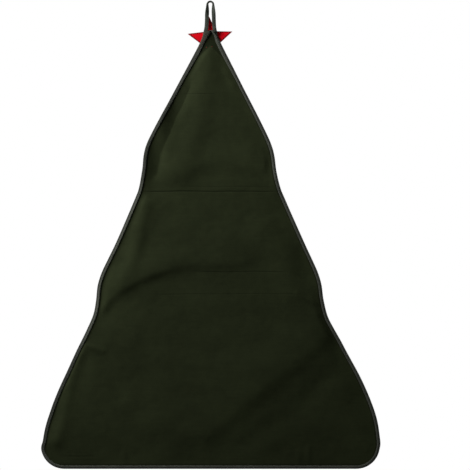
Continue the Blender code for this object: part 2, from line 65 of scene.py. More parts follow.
FOOT_Z = TREE_LOW.z
TIP_Z = TREE_HIGH.z
TREE_HEIGHT = TIP_Z - FOOT_Z
HALF_TREE_WIDTH = TREE_HIGH.x
FOOT_CORNER_RADIUS = 0.050
TIP_CORNER_RADIUS = 0.0085
TIP_CORNER_START_DEGREES = 18
# Places on the right flank: a share of the tree's height, then of half its width.
FLANK_SHARES = (
    (0.111, 0.973), (0.180, 0.908), (0.271, 0.793), (0.317, 0.731), (0.350, 0.691),
    (0.385, 0.671), (0.419, 0.660), (0.448, 0.637), (0.476, 0.604), (0.521, 0.549),
    (0.613, 0.445), (0.642, 0.416), (0.681, 0.395), (0.712, 0.386), (0.738, 0.369),
    (0.772, 0.329), (0.840, 0.237), (0.932, 0.113), (0.966, 0.068), (1.000, 0.0375),
)
FLANK_STEPS = 8
CORNER_STEPS = 14
FELT_LOW, FELT_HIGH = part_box("back_panel")
BACK_FELT = FELT_HIGH.y - FELT_LOW.y
PANEL_INSET = 0.0013
PANEL_COLUMNS = 168
PANEL_ROWS = 244
# The panels' first columns, in from the edge, and how far from the middle they need.
EDGE_INSETS = (0.0, 0.0030, 0.0056, 0.0071, 0.0085, 0.0100, 0.0120, 0.0155)
EDGE_ROOM = 0.045
# The whole hanging cloth bends in slow waves (reach, turns a metre across and up, start)
# and curls to the rear at places on its flanks (place, spread across and up, height).
HANG_WAVES = ((0.0010, 8.1, 5.2, 0.6), (0.0006, -15.0, 10.5, 2.1))
HANG_CURLS = (
    (0.104, -0.225, 0.020, 0.070, 0.0082),
    (0.142, -0.322, 0.020, 0.075, 0.0072),
    (0.285, -0.760, 0.028, 0.070, -0.0030),
    (0.338, -0.880, 0.028, 0.065, -0.0032),
    (-0.146, -0.372, 0.026, 0.030, 0.0046),
    (-0.238, -0.616, 0.030, 0.060, 0.0032),
    (-0.352, -0.880, 0.030, 0.070, 0.0022),
)
FOOT_HELD_RISE = 0.047
TIP_HELD_DROP = 0.065
HELD_FADE = 0.090
# It also hangs a little askew: heights, and how far the cloth there lies towards +X.
SWAYS = (
    (-0.958, 0.0), (-0.936, -0.0027), (-0.872, -0.0045), (-0.808, -0.0044), (-0.733, -0.0018),
    (-0.669, 0.0003), (-0.616, 0.0016), (-0.509, 0.0003), (-0.423, 0.0008), (-0.359, 0.0023),
    (-0.306, 0.0029), (-0.209, 0.0014), (-0.092, 0.0),
)
# The felt stands off the canvas inside it, and rises from its bound edges.
PUFF_HEIGHT = 0.0030
PUFF_ROUNDING = 0.007
PUFF_START = 0.0080
PUFF_FLANK_REACH = 0.050
PUFF_FOOT_REACH = 0.085
# Folds in the felt: the line that the ridge follows as seen from behind, as places across
# and up, then its height, and how far it runs out above it and below it.
FELT_FOLDS = (
    (((0.009, -0.124), (0.014, -0.231), (0.037, -0.306), (0.065, -0.372)), 0.0038, 0.026, 0.026),
    (((0.052, -0.184), (0.082, -0.244), (0.103, -0.295), (0.116, -0.359)), -0.0030, 0.014, 0.014),
    (((0.076, -0.363), (-0.010, -0.338), (-0.110, -0.351)), 0.0032, 0.034, 0.018),
    (((0.138, -0.434), (0.153, -0.498), (0.165, -0.556), (0.185, -0.605)), 0.0034, 0.015, 0.015),
    (((0.230, -0.650), (0.204, -0.622), (0.155, -0.590), (0.097, -0.569)), 0.0042, 0.034, 0.012),
    (((0.172, -0.601), (0.097, -0.569), (0.031, -0.556), (-0.063, -0.556)), 0.0026, 0.042, 0.012),
    (((-0.110, -0.492), (-0.157, -0.547), (-0.174, -0.616)), 0.0030, 0.026, 0.026),
    (((0.279, -0.748), (0.304, -0.819), (0.317, -0.883), (0.330, -0.936)), 0.0036, 0.013, 0.013),
    (((0.242, -0.757), (0.215, -0.804), (0.198, -0.842)), -0.0020, 0.014, 0.014),
    (((0.272, -0.731), (0.230, -0.746)), 0.0014, 0.005, 0.005),
    (((0.012, -0.919), (-0.063, -0.855), (-0.159, -0.778), (-0.239, -0.714)), 0.0054, 0.060, 0.022),
    (((-0.074, -0.947), (-0.192, -0.855), (-0.303, -0.748)), -0.0018, 0.022, 0.022),
    (((-0.239, -0.652), (-0.215, -0.639), (-0.187, -0.624)), 0.0014, 0.006, 0.004),
    (((-0.213, -0.992), (-0.209, -0.953)), 0.0012, 0.004, 0.004),
    (((-0.192, -0.992), (-0.189, -0.962)), 0.0010, 0.004, 0.004),
    (((0.180, -0.992), (0.185, -0.962)), 0.0012, 0.004, 0.004),
    (((-0.025, -0.113), (-0.055, -0.175)), 0.0018, 0.010, 0.010),
)
FELT_EASE = 0.018
# Low on the +X flank its folds start nearer the binding: the share of that ease which is
# left there, the height that this starts at, and how fast it sets in.
EASE_LESS = (0.35, -0.680, 0.060)
FELT_SLACK = 0.0098
# Small crumples all over the felt: height, and turns a metre across and up.
FELT_CRUMPLES = ((0.0010, 17.0, 24.0), (0.0003, 58.0, 74.0))
# Creases pressed into the felt, with painted shade in them: height, where it runs from and
# to, and depth as a share.
FELT_CREASES = (
    (-0.4052, -0.150, 0.150, 1.0), (-0.5765, -0.170, 0.044, 0.6), (-0.6242, -0.217, 0.130, 0.35),
    (-0.1966, -0.020, 0.070, 0.55), (-0.3950, -0.138, 0.085, 0.3), (-0.9712, 0.236, 0.322, 0.5),
)
CREASE_WIDTH = 0.0022
CREASE_FADE = 0.03
CREASE_WANDER = 0.006
# Painted shade on the felt beside the binding: up to where from the edge, over how much,
# and how much further near the tip, from what height up and how fast.
EDGE_SHADE_START = 0.0092
EDGE_SHADE_REACH = 0.0024
EDGE_SHADE_TIP = (0.0180, -0.130, 0.050)
# Low on its +X flank the felt rises from the binding at once, so it gets less painted shade
# there: by what share, from what height down and how fast.
EDGE_SHADE_LESS = 0.9
EDGE_SHADE_LESS_DROP = (-0.700, 0.060)
FELT_GREEN = (0.0127, 0.0160, 0.0068)
# The sizes of the felt's shades and fibres, as turns of noise to a metre.
FELT_NAP = 4.5
FELT_MOTTLE = 11.0
FELT_PATCHES = 64.0
FELT_FIBRES = 620.0
FELT_HAIRS = (900.0, 900.0, 160.0)
FELT_STREAKS = (14.0, 14.0, 420.0)
FELT_BUMP = 0.00035
CLOTH_SPECULAR = 0.03
SHEEN_ROUGHNESS = 0.6
SHARP_ANGLE = 0.7
TINY = 1e-7


def arc(centre, radius, start_degrees, end_degrees, steps):
    """Points on an arc, both ends included."""
    span = end_degrees - start_degrees
    turns = [math.radians(start_degrees + span * step / steps) for step in range(steps + 1)]
    return [centre + Vector((math.cos(turn), math.sin(turn))) * radius for turn in turns]


def curve_through(points, steps):
    """Points on a Catmull-Rom curve through the given points, ends included."""
    padded = [points[0] * 2 - points[1], *points, points[-1] * 2 - points[-2]]
    curve = []
    for index in range(1, len(padded) - 2):
        before, start, end, after = padded[index - 1:index + 3]
        for step in range(steps):
            t = step / steps
            pull = (end - before) * t + (before * 2 - start * 5 + end * 4 - after) * t ** 2
            bend = (start * 3 - before - end * 3 + after) * t ** 3
            curve.append(start + (pull + bend) / 2)
    curve.append(points[-1])
    return curve


def right_edge():
    """The tree's right edge, from the foot's straight run up to the tip's."""
    foot_centre = Vector((HALF_TREE_WIDTH - FOOT_CORNER_RADIUS, FOOT_Z + FOOT_CORNER_RADIUS))
    foot_corner = arc(foot_centre, FOOT_CORNER_RADIUS, -90, 0, CORNER_STEPS)
    flank = [foot_corner[-1]]
    for height_share, width_share in FLANK_SHARES[:-1]:
        flank.append(Vector((width_share * HALF_TREE_WIDTH, FOOT_Z + height_share * TREE_HEIGHT)))
    tip_half_width = FLANK_SHARES[-1][1] * HALF_TREE_WIDTH
    tip_centre = Vector((tip_half_width - TIP_CORNER_RADIUS, TIP_Z - TIP_CORNER_RADIUS))
    tip_corner = arc(tip_centre, TIP_CORNER_RADIUS, TIP_CORNER_START_DEGREES, 90, CORNER_STEPS // 2)
    flank.append(tip_corner[0])
    return foot_corner[:-1] + curve_through(flank, FLANK_STEPS)[:-1] + tip_corner


edge_line = right_edge()
edge_heights = [point.y for point in edge_line]


def clamp(value, low=0.0, high=1.0):
    """The value, or the limit that it lies past."""
    return min(max(value, low), high)


def step_at(reaches, reach):
    """Which of some rising numbers follows a reach, and the share of the step to it."""
    after = clamp(bisect_right(reaches, reach), 1, len(reaches) - 1)
    return after, (reach - reaches[after - 1]) / max(reaches[after] - reaches[after - 1], TINY)


def half_width(z):
    """Half the tree's width at a height."""
    above, share = step_at(edge_heights, z)
    low, high = edge_line[above - 1], edge_line[above]
    return low.x + (high.x - low.x) * clamp(share)


def ease(share):
    """0 to 1, leaving and arriving smoothly."""
    share = clamp(share)
    return share * share * (3 - 2 * share)


def way_from(start, end, spot):
    """The way from the nearest point of a straight line to a flat place."""
    start, run = Vector(start), Vector(end) - Vector(start)
    return spot - start - run * clamp((spot - start).dot(run) / run.length_squared)


def hang(x, z):
    """How far the hanging cloth stands behind its flat place. The rod and the star keep it flat."""
    held = ease((z - FOOT_Z - FOOT_HELD_RISE) / HELD_FADE)
    held *= ease((TIP_Z - TIP_HELD_DROP - z) / HELD_FADE)
    bend = sum(reach * math.sin(across * x + up * z + start) for reach, across, up, start in HANG_WAVES)
    for middle_x, middle_z, across, up, height in HANG_CURLS:
        bend += height * math.exp(-((x - middle_x) / across) ** 2 - ((z - middle_z) / up) ** 2)
    return held * bend


def sway(z):
    """How far the hanging cloth lies towards +X at a height."""
    for (low_z, low), (high_z, high) in pairwise(SWAYS):
        if low_z <= z <= high_z:
            return low + (high - low) * ease((z - low_z) / (high_z - low_z))
    return 0.0


def fold_height(x, z):
    """How far the felt stands off its flat place."""
    spot = Vector((x, z))
    from_flank = half_width(z) - math.hypot(x, PUFF_ROUNDING) - PUFF_START
    from_foot = z - FOOT_Z - PUFF_START
    lift = 0.0
    for line, height, above, below in FELT_FOLDS:
        ways = [way_from(start, end, spot) for start, end in pairwise(line)]
        nearest = min(ways, key=lambda way: way.length)
        upward = ease(0.5 + nearest.y / max(nearest.length, TINY) / 2)
        lift += height * math.exp(-(nearest.length / (below + (above - below) * upward)) ** 2)
    for height, across, up in FELT_CRUMPLES:
        lift += height * noise.noise(Vector((x * across, z * up, across)))
    share, high_z, rise = EASE_LESS
    quick = ease((high_z - z) / rise) * ease(x / FELT_EASE)
    lift *= ease(min(from_flank / (1 - (1 - share) * quick), from_foot) / FELT_EASE)
    puff = PUFF_HEIGHT * ease(from_flank / PUFF_FLANK_REACH) * ease(from_foot / PUFF_FOOT_REACH)
    return FELT_SLACK * math.tanh(max(lift + puff, 0.0) / FELT_SLACK)


def panel_heights():
    """Heights up a panel, close together round the foot's corners."""
    lowest = FOOT_Z + PANEL_INSET
    foot = [lowest] + [point.y for point in edge_line[:CORNER_STEPS] if point.y > lowest + TINY]
    low, high = foot[-1], TIP_Z - PANEL_INSET
    rise = PANEL_ROWS + 1 - len(foot)
    return foot + [low + (high - low) * step / rise for step in range(1, rise + 1)]


def across_places(reach):
    """Places across a panel from its +X edge to its -X one, close together near both."""
    insets = [inset * min(reach / EDGE_ROOM, 1.0) for inset in EDGE_INSETS]
    steps = PANEL_COLUMNS + 2 - 2 * len(insets)
    inner = reach - insets[-1]
    middle = [inner * (1 - 2 * step / steps) for step in range(steps + 1)]
    return [reach - inset for inset in insets[:-1]] + middle + [inset - reach for inset in insets[-2::-1]]


def cloth_grid(columns, rows, place, flat):
    """A sheet of cloth: a grid laid where place says, with its flat size as its UV map."""
    shape = bmesh.new()
    weave = shape.loops.layers.uv.new("cloth")
    bmesh.ops.create_grid(shape, x_segments=columns, y_segments=rows, size=0.5, calc_uvs=True)
    for face in shape.faces:
        for loop in face.loops:
            loop[weave].uv = (loop[weave].uv.x * flat[0], loop[weave].uv.y * flat[1])
    for corner in shape.verts:
        column = round((corner.co.x + 0.5) * columns)
        row = round((corner.co.y + 0.5) * rows)
        corner.co = place(column, row)
    shape.normal_update()
    return shape


def press_edges(shape, less=0.0):
    """Mark painted shade on a panel beside the binding sewn over it, from 0 to 1."""
    painted_shade = shape.verts.layers.float.new("painted_shade")
    for corner in shape.verts:
        x, z = corner.co.xz
        from_flank, from_foot = half_width(z) - abs(x), z - FOOT_Z
        further, low_z, rise = EDGE_SHADE_TIP
        from_edge = min(from_flank, from_foot) - further * ease((z - low_z) / rise)
        corner[painted_shade] = 1 - ease((from_edge - EDGE_SHADE_START) / EDGE_SHADE_REACH)
        if x > 0 and from_flank < from_foot:
            high_z, drop = EDGE_SHADE_LESS_DROP
            corner[painted_shade] *= 1 - less * ease((high_z - z) / drop)


def add_piece(name, shape, material, body, nodes=()):
    """Turn a finished bmesh into a named piece that moves with a body."""
    if body == "calendar":
        for corner in shape.verts:
            corner.co.x += sway(corner.co.z)
    shape.normal_update()
    for edge in shape.edges:
        edge.smooth = edge.calc_face_angle(0.0) < SHARP_ANGLE
    for face in shape.faces:
        face.smooth = True
    mesh = bpy.data.meshes.new(name)
    shape.to_mesh(mesh)
    shape.free()
    mesh.materials.append(material)
    piece = bpy.data.objects.new(name, mesh)
    bpy.context.scene.collection.objects.link(piece)
    if body:
        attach(piece, body)
    if nodes:
        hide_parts(*nodes)
    return piece


class Wire:
    """One value in a material. Sums on wires add Math nodes to the material."""

    def __init__(self, tree, socket=None):
        self.tree = tree
        self.socket = socket

    def node(self, kind, settings=(), sockets=(), output=0):
        """Add a node: its settings, then the values or wires of its sockets."""
        made = self.tree.nodes.new(kind)
        for name, value in dict(settings).items():
            setattr(made, name, value)
        for name, value in dict(sockets).items():
            if isinstance(value, Wire):
                self.tree.links.new(value.socket, made.inputs[name])
            else:
                made.inputs[name].default_value = value
        return Wire(self.tree, made.outputs[output])

    def also(self, output):
        """Another output of the same node."""
        return Wire(self.tree, self.socket.node.outputs[output])

    def maths(self, operation, *values):
        """A Math node of the given values, or of this one alone."""
        return self.node("ShaderNodeMath", {"operation": operation}, dict(enumerate(values or [self])))

    def __add__(self, other):
        return self.maths("ADD", self, other)

    def __sub__(self, other):
        return self.maths("SUBTRACT", self, other)

    def __rsub__(self, other):
        return self.maths("SUBTRACT", other, self)

    def __mul__(self, other):
        return self.maths("MULTIPLY", self, other)

    __radd__ = __add__
    __rmul__ = __mul__

    def parts(self):
        """The X, Y and Z of this vector."""
        split = self.node("ShaderNodeSeparateXYZ", {}, {"Vector": self})
        return split, split.also("Y"), split.also("Z")

    def scaled(self, factors):
        """A vector times another."""
        return self.node("ShaderNodeVectorMath", {"operation": "MULTIPLY"}, {0: self, 1: factors})

    def noise(self, scale, detail, roughness, distortion=0.0):
        """Cloudy noise read at this vector, from 0 to 1 and mostly near a half."""
        sockets = {"Scale": scale, "Detail": detail, "Roughness": roughness, "Distortion": distortion}
        return self.node("ShaderNodeTexNoise", {}, {"Vector": self, **sockets})

    def ranged(self, low, high, first=0.0, last=1.0):
        """The first value up to the low limit, the last one past the high limit, even between."""
        sockets = {"From Min": low, "From Max": high, "To Min": first, "To Max": last}
        return self.node("ShaderNodeMapRange", {}, {"Value": self, **sockets})

    def marked(self, name):
        """The value that the mesh carries under a name."""
        return self.node("ShaderNodeAttribute", {"attribute_name": name}, output="Fac")

    def mixed(self, first, second):
        """Two colours mixed by this value."""
        return self.node("ShaderNodeMix", {"data_type": "RGBA"}, {0: self, 6: first, 7: second}, 2)

    def shaded(self, colour):
        """A colour made darker or lighter by this value."""
        settings = {"data_type": "RGBA", "blend_type": "MULTIPLY"}
        return self.node("ShaderNodeMix", settings, {0: 1.0, 6: (*colour, 1.0), 7: self}, 2)

    def feed(self, shader, name):
        """Lead this value to a socket of the shader."""
        self.tree.links.new(self.socket, shader.inputs[name])

    def emboss(self, shader, strength, distance):
        """Raise the shader's surface by this value."""
        sockets = {"Strength": strength, "Distance": distance, "Height": self}
        self.node("ShaderNodeBump", {}, sockets).feed(shader, "Normal")


def new_material(name, sheen=0.0, specular=CLOTH_SPECULAR, along_cloth=False):
    """A material: itself, the place that its pattern is read at, and its shader."""
    surface = bpy.data.materials.new(name)
    surface.use_nodes = True
    shader = surface.node_tree.nodes["Principled BSDF"]
    shader.inputs["Specular IOR Level"].default_value = specular
    shader.inputs["Sheen Weight"].default_value = sheen
    shader.inputs["Sheen Roughness"].default_value = SHEEN_ROUGHNESS
    start = Wire(surface.node_tree)
    if along_cloth:
        return surface, start.node("ShaderNodeUVMap", {"uv_map": "cloth"}), shader
    return surface, start.node("ShaderNodeTexCoord", output="Object"), shader


def felt(name, colour, sheen=0.0, stripes=0.0, creases=(), edge_shade_strength=0.48):
    """Needled felt: matted fibres with a faint mottle, with painted shade at marked edges and creases."""
    surface, place, shader = new_material(name, sheen)
    nap = place.noise(FELT_NAP, 3.0, 0.55)
    mottle = place.noise(FELT_MOTTLE, 4.0, 0.6)
    patches = place.noise(FELT_PATCHES, 3.0, 0.6, 0.6)
    fibres = place.noise(FELT_FIBRES, 4.0, 0.75, 1.4)
    hairs = place.scaled(FELT_HAIRS).noise(1.0, 3.0, 0.6, 0.8)
    shade = -0.21 + nap * 0.74 + mottle * 0.44 + patches * 0.38 + fibres * 0.62 + hairs * 0.22
    relief = fibres + hairs * 0.5
    if stripes:
        streaks = place.scaled(FELT_STREAKS).noise(1.0, 3.0, 0.7)
        shade = shade + (streaks - 0.5) * stripes
        relief = relief + streaks * stripes
    # Painted shade where the mesh marks it: beside a binding, or round the star's edge.
    shade = shade * (1.0 - place.marked("painted_shade") * edge_shade_strength)
    if creases:
        x, _, z = place.parts()
        wandering = z + (place.noise(7.0, 2.0, 0.5) - 0.5) * CREASE_WANDER
    for crease_z, low_x, high_x, depth in creases:
        line = (wandering - crease_z).maths("ABSOLUTE").ranged(0.0, CREASE_WIDTH, depth, 0.0)
        fade_in = x.ranged(low_x, low_x + CREASE_FADE)
        fade_out = x.ranged(high_x - CREASE_FADE, high_x, 1.0, 0.0)
        line = line * fade_in * fade_out
        # Painted shade in the crease, on top of its dent in the bump.
        shade = shade * (1.0 - line * 0.42)
        relief = relief - line * 3.0
    shade.shaded(colour).feed(shader, "Base Color")
    (0.86 + fibres * 0.14).feed(shader, "Roughness")
    relief.emboss(shader, 0.55, FELT_BUMP)
    return surface


heights = panel_heights()
spans = [across_places(half_width(z) - PANEL_INSET) for z in heights]
felt_green = felt("felt_green", FELT_GREEN, stripes=0.35, creases=FELT_CREASES)


def back_place(column, row):
    """A point of the felt's outer face, from the tree's +X edge across to its -X edge."""
    x, z = spans[row][column], heights[row]
    return Vector((x, FELT_HIGH.y + hang(x, z) + fold_height(x, z), z))


panel_area = sum((half_width(low) + half_width(high)) * (high - low) for low, high in pairwise(heights))
panel_flat = (2 * HALF_TREE_WIDTH, TREE_HEIGHT)
back = cloth_grid(PANEL_COLUMNS, PANEL_ROWS, back_place, panel_flat)
# Painted shade on the felt beside its binding.
press_edges(back, less=EDGE_SHADE_LESS)
bmesh.ops.solidify(back, geom=back.faces[:], thickness=BACK_FELT)
back_panel = add_piece("felt_back", back, felt_green, "calendar", ["back_panel"])


# The front panel: grey-green cotton canvas of the same outline, which carries the pockets.
# Nothing holds it flat but the rod at the foot, so soft diagonal folds run in from its
# flanks.
CANVAS_LOW, CANVAS_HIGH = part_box("front_panel")
FRONT_CANVAS = CANVAS_HIGH.y - CANVAS_LOW.y
CANVAS_GREEN = (0.0336, 0.0371, 0.0281)
THREAD_PITCH = 0.0011
TAPE_THREAD_PITCH = 0.0008
# The sizes of the shades along and across each thread and of those all over the cloth, as
# turns of noise to a metre.
THREAD_SHADES = (22.0, 520.0)
CANVAS_CLOUD = 13.0
CANVAS_SHEEN = 0.03
CANVAS_BUMP = 0.00030
# Folds in the canvas's flanks: where each starts and ends, its height and its spread.
CANVAS_FOLDS = (
    ((-0.350, -0.935), (-0.255, -0.790), 0.0062, 0.013),
    ((-0.335, -0.860), (-0.235, -0.700), 0.0050, 0.011),
    ((-0.305, -0.945), (-0.345, -0.880), 0.0034, 0.009),
    ((0.350, -0.925), (0.245, -0.770), 0.0060, 0.013),
    ((0.325, -0.840), (0.240, -0.710), 0.0044, 0.011),
    ((0.345, -0.890), (0.300, -0.860), 0.0030, 0.008),
    ((0.262, -0.690), (0.190, -0.570), 0.0042, 0.010),
    ((-0.250, -0.680), (-0.195, -0.560), 0.0044, 0.010),
    ((-0.118, -0.360), (-0.060, -0.180), 0.0046, 0.011),
    ((-0.088, -0.330), (-0.040, -0.150), 0.0030, 0.009),
    ((0.122, -0.370), (0.064, -0.190), 0.0040, 0.011),
    ((0.030, -0.120), (0.014, -0.185), 0.0030, 0.008),
    ((-0.026, -0.125), (-0.010, -0.190), 0.0026, 0.008),
    ((-0.180, -0.530), (-0.135, -0.440), 0.0034, 0.009),
    ((0.190, -0.540), (0.135, -0.430), 0.0034, 0.009),
)
# Small crumples all over the canvas: height, and turns a metre across and up. Their mean
# level is a share of their height.
CANVAS_CRUMPLES = ((0.0022, 24.0, 30.0), (0.0007, 60.0, 66.0))
CRUMPLE_LEVEL = 0.4
# How many pockets each row has, from the top, and how far round them the canvas stays flat.
ROW_POCKETS = (1, 2, 2, 3, 3, 4, 4, 5)
POCKET_CLEARANCE = 0.012


def canvas(name, colour, tape=False):
    """Plain-woven cotton, no two threads quite one shade. Tape is finer and cut on the bias."""
    surface, place, shader = new_material(name, CANVAS_SHEEN, along_cloth=tape)
    across, along, up = place.parts()
    pitch = THREAD_PITCH
    if tape:
        across, up = (across + along) * math.sqrt(0.5), (along - across) * math.sqrt(0.5)
        pitch = TAPE_THREAD_PITCH
    warp = (across * (math.pi / pitch)).maths("SINE")
    weft = (up * (math.pi / pitch)).maths("SINE")
    over = warp.maths("GREATER_THAN", warp * weft, 0.0)
    height = over * warp.maths("ABSOLUTE") + (1.0 - over) * weft.maths("ABSOLUTE")
    plane = across.node("ShaderNodeCombineXYZ", {}, {0: across, 1: up, 2: 0.0})
    lengthways, crossways = THREAD_SHADES
    warp_shade = plane.scaled((crossways, lengthways, 1.0)).noise(1.0, 2.0, 0.6)
    weft_shade = plane.scaled((lengthways, crossways, 1.0)).noise(1.0, 2.0, 0.6)
    cloud = plane.noise(CANVAS_CLOUD, 3.0, 0.6)
    shade = 0.18 + over * warp_shade * 0.62 + (1.0 - over) * weft_shade * 0.62
    # Painted shade where the mesh marks it: beside the binding, and along the tape itself.
    shade = (shade + cloud * 0.60 + height * 0.30) * (1.0 - place.marked("painted_shade") * 0.5)
    shade.shaded(colour).feed(shader, "Base Color")
    (0.95 - height * 0.12).feed(shader, "Roughness")
    height.emboss(shader, 0.5, CANVAS_BUMP)
    return surface


def straight_folds(x, z, folds):
    """How far a list of straight folds lifts the cloth at a place."""
    spot = Vector((x, z))
    return sum(
        height * math.exp(-(way_from(start, end, spot).length / spread) ** 2)
        for start, end, height, spread in folds
    )


def front_place(column, row):
    """A point of the canvas's outer face, from the tree's -X edge across to its +X edge."""
    x, z = -spans[row][column], heights[row]
    eased = ease((min(half_width(z) - abs(x), z - FOOT_Z - FOOT_HELD_RISE) - PUFF_START) / FELT_EASE)
    for low, high in row_boxes:
        clear = max(low.x - x, x - high.x, low.z - z, z - high.z)
        eased *= ease(clear / POCKET_CLEARANCE)
    lift = straight_folds(x, z, CANVAS_FOLDS)
    for height, across, up in CANVAS_CRUMPLES:
        lift += height * (CRUMPLE_LEVEL + noise.noise(Vector((x * across, z * up, up))))
    return Vector((x, CANVAS_LOW.y + hang(x, z) - max(lift, 0.0) * eased, z))


row_boxes = [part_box(f"pocket_row_{row + 1}") for row in range(len(ROW_POCKETS))]
canvas_green = canvas("canvas_green", CANVAS_GREEN)
front = cloth_grid(PANEL_COLUMNS, PANEL_ROWS, front_place, panel_flat)
# Painted shade on the canvas beside its binding.
press_edges(front)
bmesh.ops.solidify(front, geom=front.faces[:], thickness=FRONT_CANVAS)
front_panel = add_piece("canvas_front", front, canvas_green, "calendar", ["front_panel"])


# The edge binding: bias-cut cotton tape, folded round the edge of both panels and sewn
# through from front to back, so that it is puffed between its fold and its stitches.
BINDING_TAPE = 0.0008
BINDING_SPACING = 0.0036
BINDING_GREY = (0.042, 0.045, 0.036)
THREAD_GREY = (0.046, 0.050, 0.041)
# The tape's folded end is darker than the binding, though it is the same tape: painted shade.
FOLDED_SHADED_GREY = (0.030, 0.029, 0.022)
# At the tip its rear half is cut back, where the loop's tails are sewn in, as a middle, a
# reach and a share. Below the tip it spreads, between four heights.
TIP_CUT = (-0.0016, 0.0022, 0.75)
TIP_SPREAD = 0.24
TIP_SPREAD_HEIGHTS = (-0.165, -0.110, -0.082, -0.070)
# The tape's outer face from its rear edge round the fold to its front edge, as places in
# from the tree's edge, depths, and how much painted shade the tape has there.
BINDING_PROFILE = (
    (0.0074, 0.0022, 0.9), (0.0071, 0.0032, 0.3), (0.0064, 0.0036, 0.3), (0.0057, 0.0038, 0.0),
    (0.0046, 0.0037, 0.0), (0.0032, 0.0034, 0.2), (0.0018, 0.0028, 0.8), (0.0006, 0.0017, 1.0),
    (0.0000, 0.0003, 1.0), (0.0004, -0.0012, 0.8), (0.0016, -0.0021, 0.3), (0.0036, -0.0025, 0.0),
    (0.0052, -0.0023, 0.2), (0.0064, -0.0020, 0.5), (0.0071, -0.0022, 0.4), (0.0074, -0.0020, 0.9),
)
# On the +X flank the rear face has uneven painted light. Its turn has more painted shade,
# more so towards the flank's ends, and its ridge has a painted highlight in the flank's middle:
# the painted shade added at the ends and in the middle, the heights between them, and the
# insets from turn to ridge.
TURN_PAINTED_SHADE = (0.9, 0.5)
RIDGE_PAINTED_LIGHT = (0.7, -0.8)
MOST_PAINTED_SHADE = 1.5
PAINTED_LIGHT_HEIGHTS = (-0.770, -0.700, -0.430, -0.360)
PAINTED_LIGHT_ENDS = (-0.975, -0.065, 0.030)
PAINTED_LIGHT_INSETS = (0.0030, 0.0046)
SEAM_INSET = 0.0064
REAR_SEAM_Y = 0.0037
FRONT_SEAM_Y = -0.0021
STITCH_PITCH = 0.0036
STITCH_LENGTH = 0.0027
STITCH_HALF_WIDTH = 0.00034
STITCH_HALF_HEIGHT = 0.00028
THREAD_SIDES = 6
# How thick a stitch is along its length: places from end to end, and shares of its size.
STITCH_SHARES = ((-0.5, 0.0), (-0.4, 0.75), (0.0, 1.0), (0.4, 0.75), (0.5, 0.0))
THREAD_SPECULAR = 0.08
# The sizes of the thread's twist and of the shades along it, as turns to a metre.
THREAD_TWIST = 420.0
THREAD_CLOUD = 45.0
FRONTWARD = Vector((0, -1, 0))
REARWARD = Vector((0, 1, 0))


def mirrored(points):
    """Flat points moved to the other side of the tree's middle."""
    return [Vector((-point.x, point.y)) for point in points]


def reaches_of(path):
    """How far along a path each of its points lies."""
    reaches = [0.0]
    for start, end in pairwise(path):
        reaches.append(reaches[-1] + (end - start).length)
    return reaches


def edge_walk(spacing):
    """Points all round the tree's edge with the way in from each, from the foot's +X corner."""
    outline = edge_line + mirrored(reversed(edge_line))
    outline.append(outline[0])
    reaches = reaches_of(outline)

    def spot(reach):
        after, share = step_at(reaches, reach % reaches[-1])
        return outline[after - 1].lerp(outline[after], share)

    count = round(reaches[-1] / spacing)
    walk = []
    for step in range(count):
        reach = reaches[-1] * step / count
        run = (spot(reach + spacing / 2) - spot(reach - spacing / 2)).normalized()
        walk.append((spot(reach), Vector((-run.y, run.x))))
    return walk, reaches[-1]


def hung_place(flat, depth):
    """A flat place of the tree at a depth, moved with the hanging cloth."""
    return Vector((flat.x, depth + hang(flat.x, flat.y), flat.y))


def inset_path(walk, inset, depth):
    """The walk moved in from the edge, at a depth that follows the hanging cloth."""
    return [hung_place(point + inward * inset, depth) for point, inward in walk]


def add_part(shape, part):
    """Move a finished bmesh's faces into another."""
    carrier = bpy.data.meshes.new("carrier")
    part.to_mesh(carrier)
    part.free()
    shape.from_mesh(carrier)
    bpy.data.meshes.remove(carrier)


def sew(shape, path, outward, scale=1.0):
    """Add a line of stitches along a path, each a short rounded length of thread."""
    reaches = reaches_of(path)
    count = max(round(reaches[-1] / STITCH_PITCH / scale), 1)
    stitches = []
    for number in range(count):
        after, share = step_at(reaches, reaches[-1] * (number + 0.5) / count)
        start, end = path[after - 1], path[after]
        along = (end - start).normalized()
        away = outward if isinstance(outward, Vector) else outward[after]
        across = along.cross(away).normalized()
        stitches.append((start.lerp(end, share), along, across, across.cross(along)))
    parts = len(STITCH_SHARES)
    columns = count * parts - 1
    run = bmesh.new()
    bmesh.ops.create_grid(run, x_segments=columns, y_segments=THREAD_SIDES, size=0.5)
    gaps = [
        face for face in run.faces
        if int((face.calc_center_median().x + 0.5) * columns + 1) % parts == 0
    ]
    for corner in run.verts:
        column = round((corner.co.x + 0.5) * columns)
        turn = (corner.co.y + 0.5) * 2 * math.pi
        middle, along, across, up = stitches[column // parts]
        place, thickness = STITCH_SHARES[column % parts]
        side = across * (math.cos(turn) * STITCH_HALF_WIDTH) + up * (math.sin(turn) * STITCH_HALF_HEIGHT)
        corner.co = middle + (along * (place * STITCH_LENGTH) + side * thickness) * scale
    bmesh.ops.delete(run, geom=gaps, context="FACES")
    bmesh.ops.remove_doubles(run, verts=run.verts[:], dist=TINY)
    bmesh.ops.recalc_face_normals(run, faces=run.faces[:])
    add_part(shape, run)


def thread(name, colour):
    """Sewing thread: two plies that wind round each other, with a slight gloss."""
    surface, place, shader = new_material(name, specular=THREAD_SPECULAR)
    wave = {"Vector": place, "Scale": THREAD_TWIST, "Distortion": 1.0}
    plies = place.node("ShaderNodeTexWave", {"bands_direction": "DIAGONAL"}, wave, "Fac")
    cloud = place.noise(THREAD_CLOUD, 2.0, 0.5)
    (0.55 + plies * 0.45 + cloud * 0.45).shaded(colour).feed(shader, "Base Color")
    (0.55 + cloud * 0.3).feed(shader, "Roughness")
    plies.emboss(shader, 0.4, 0.0001)
    return surface


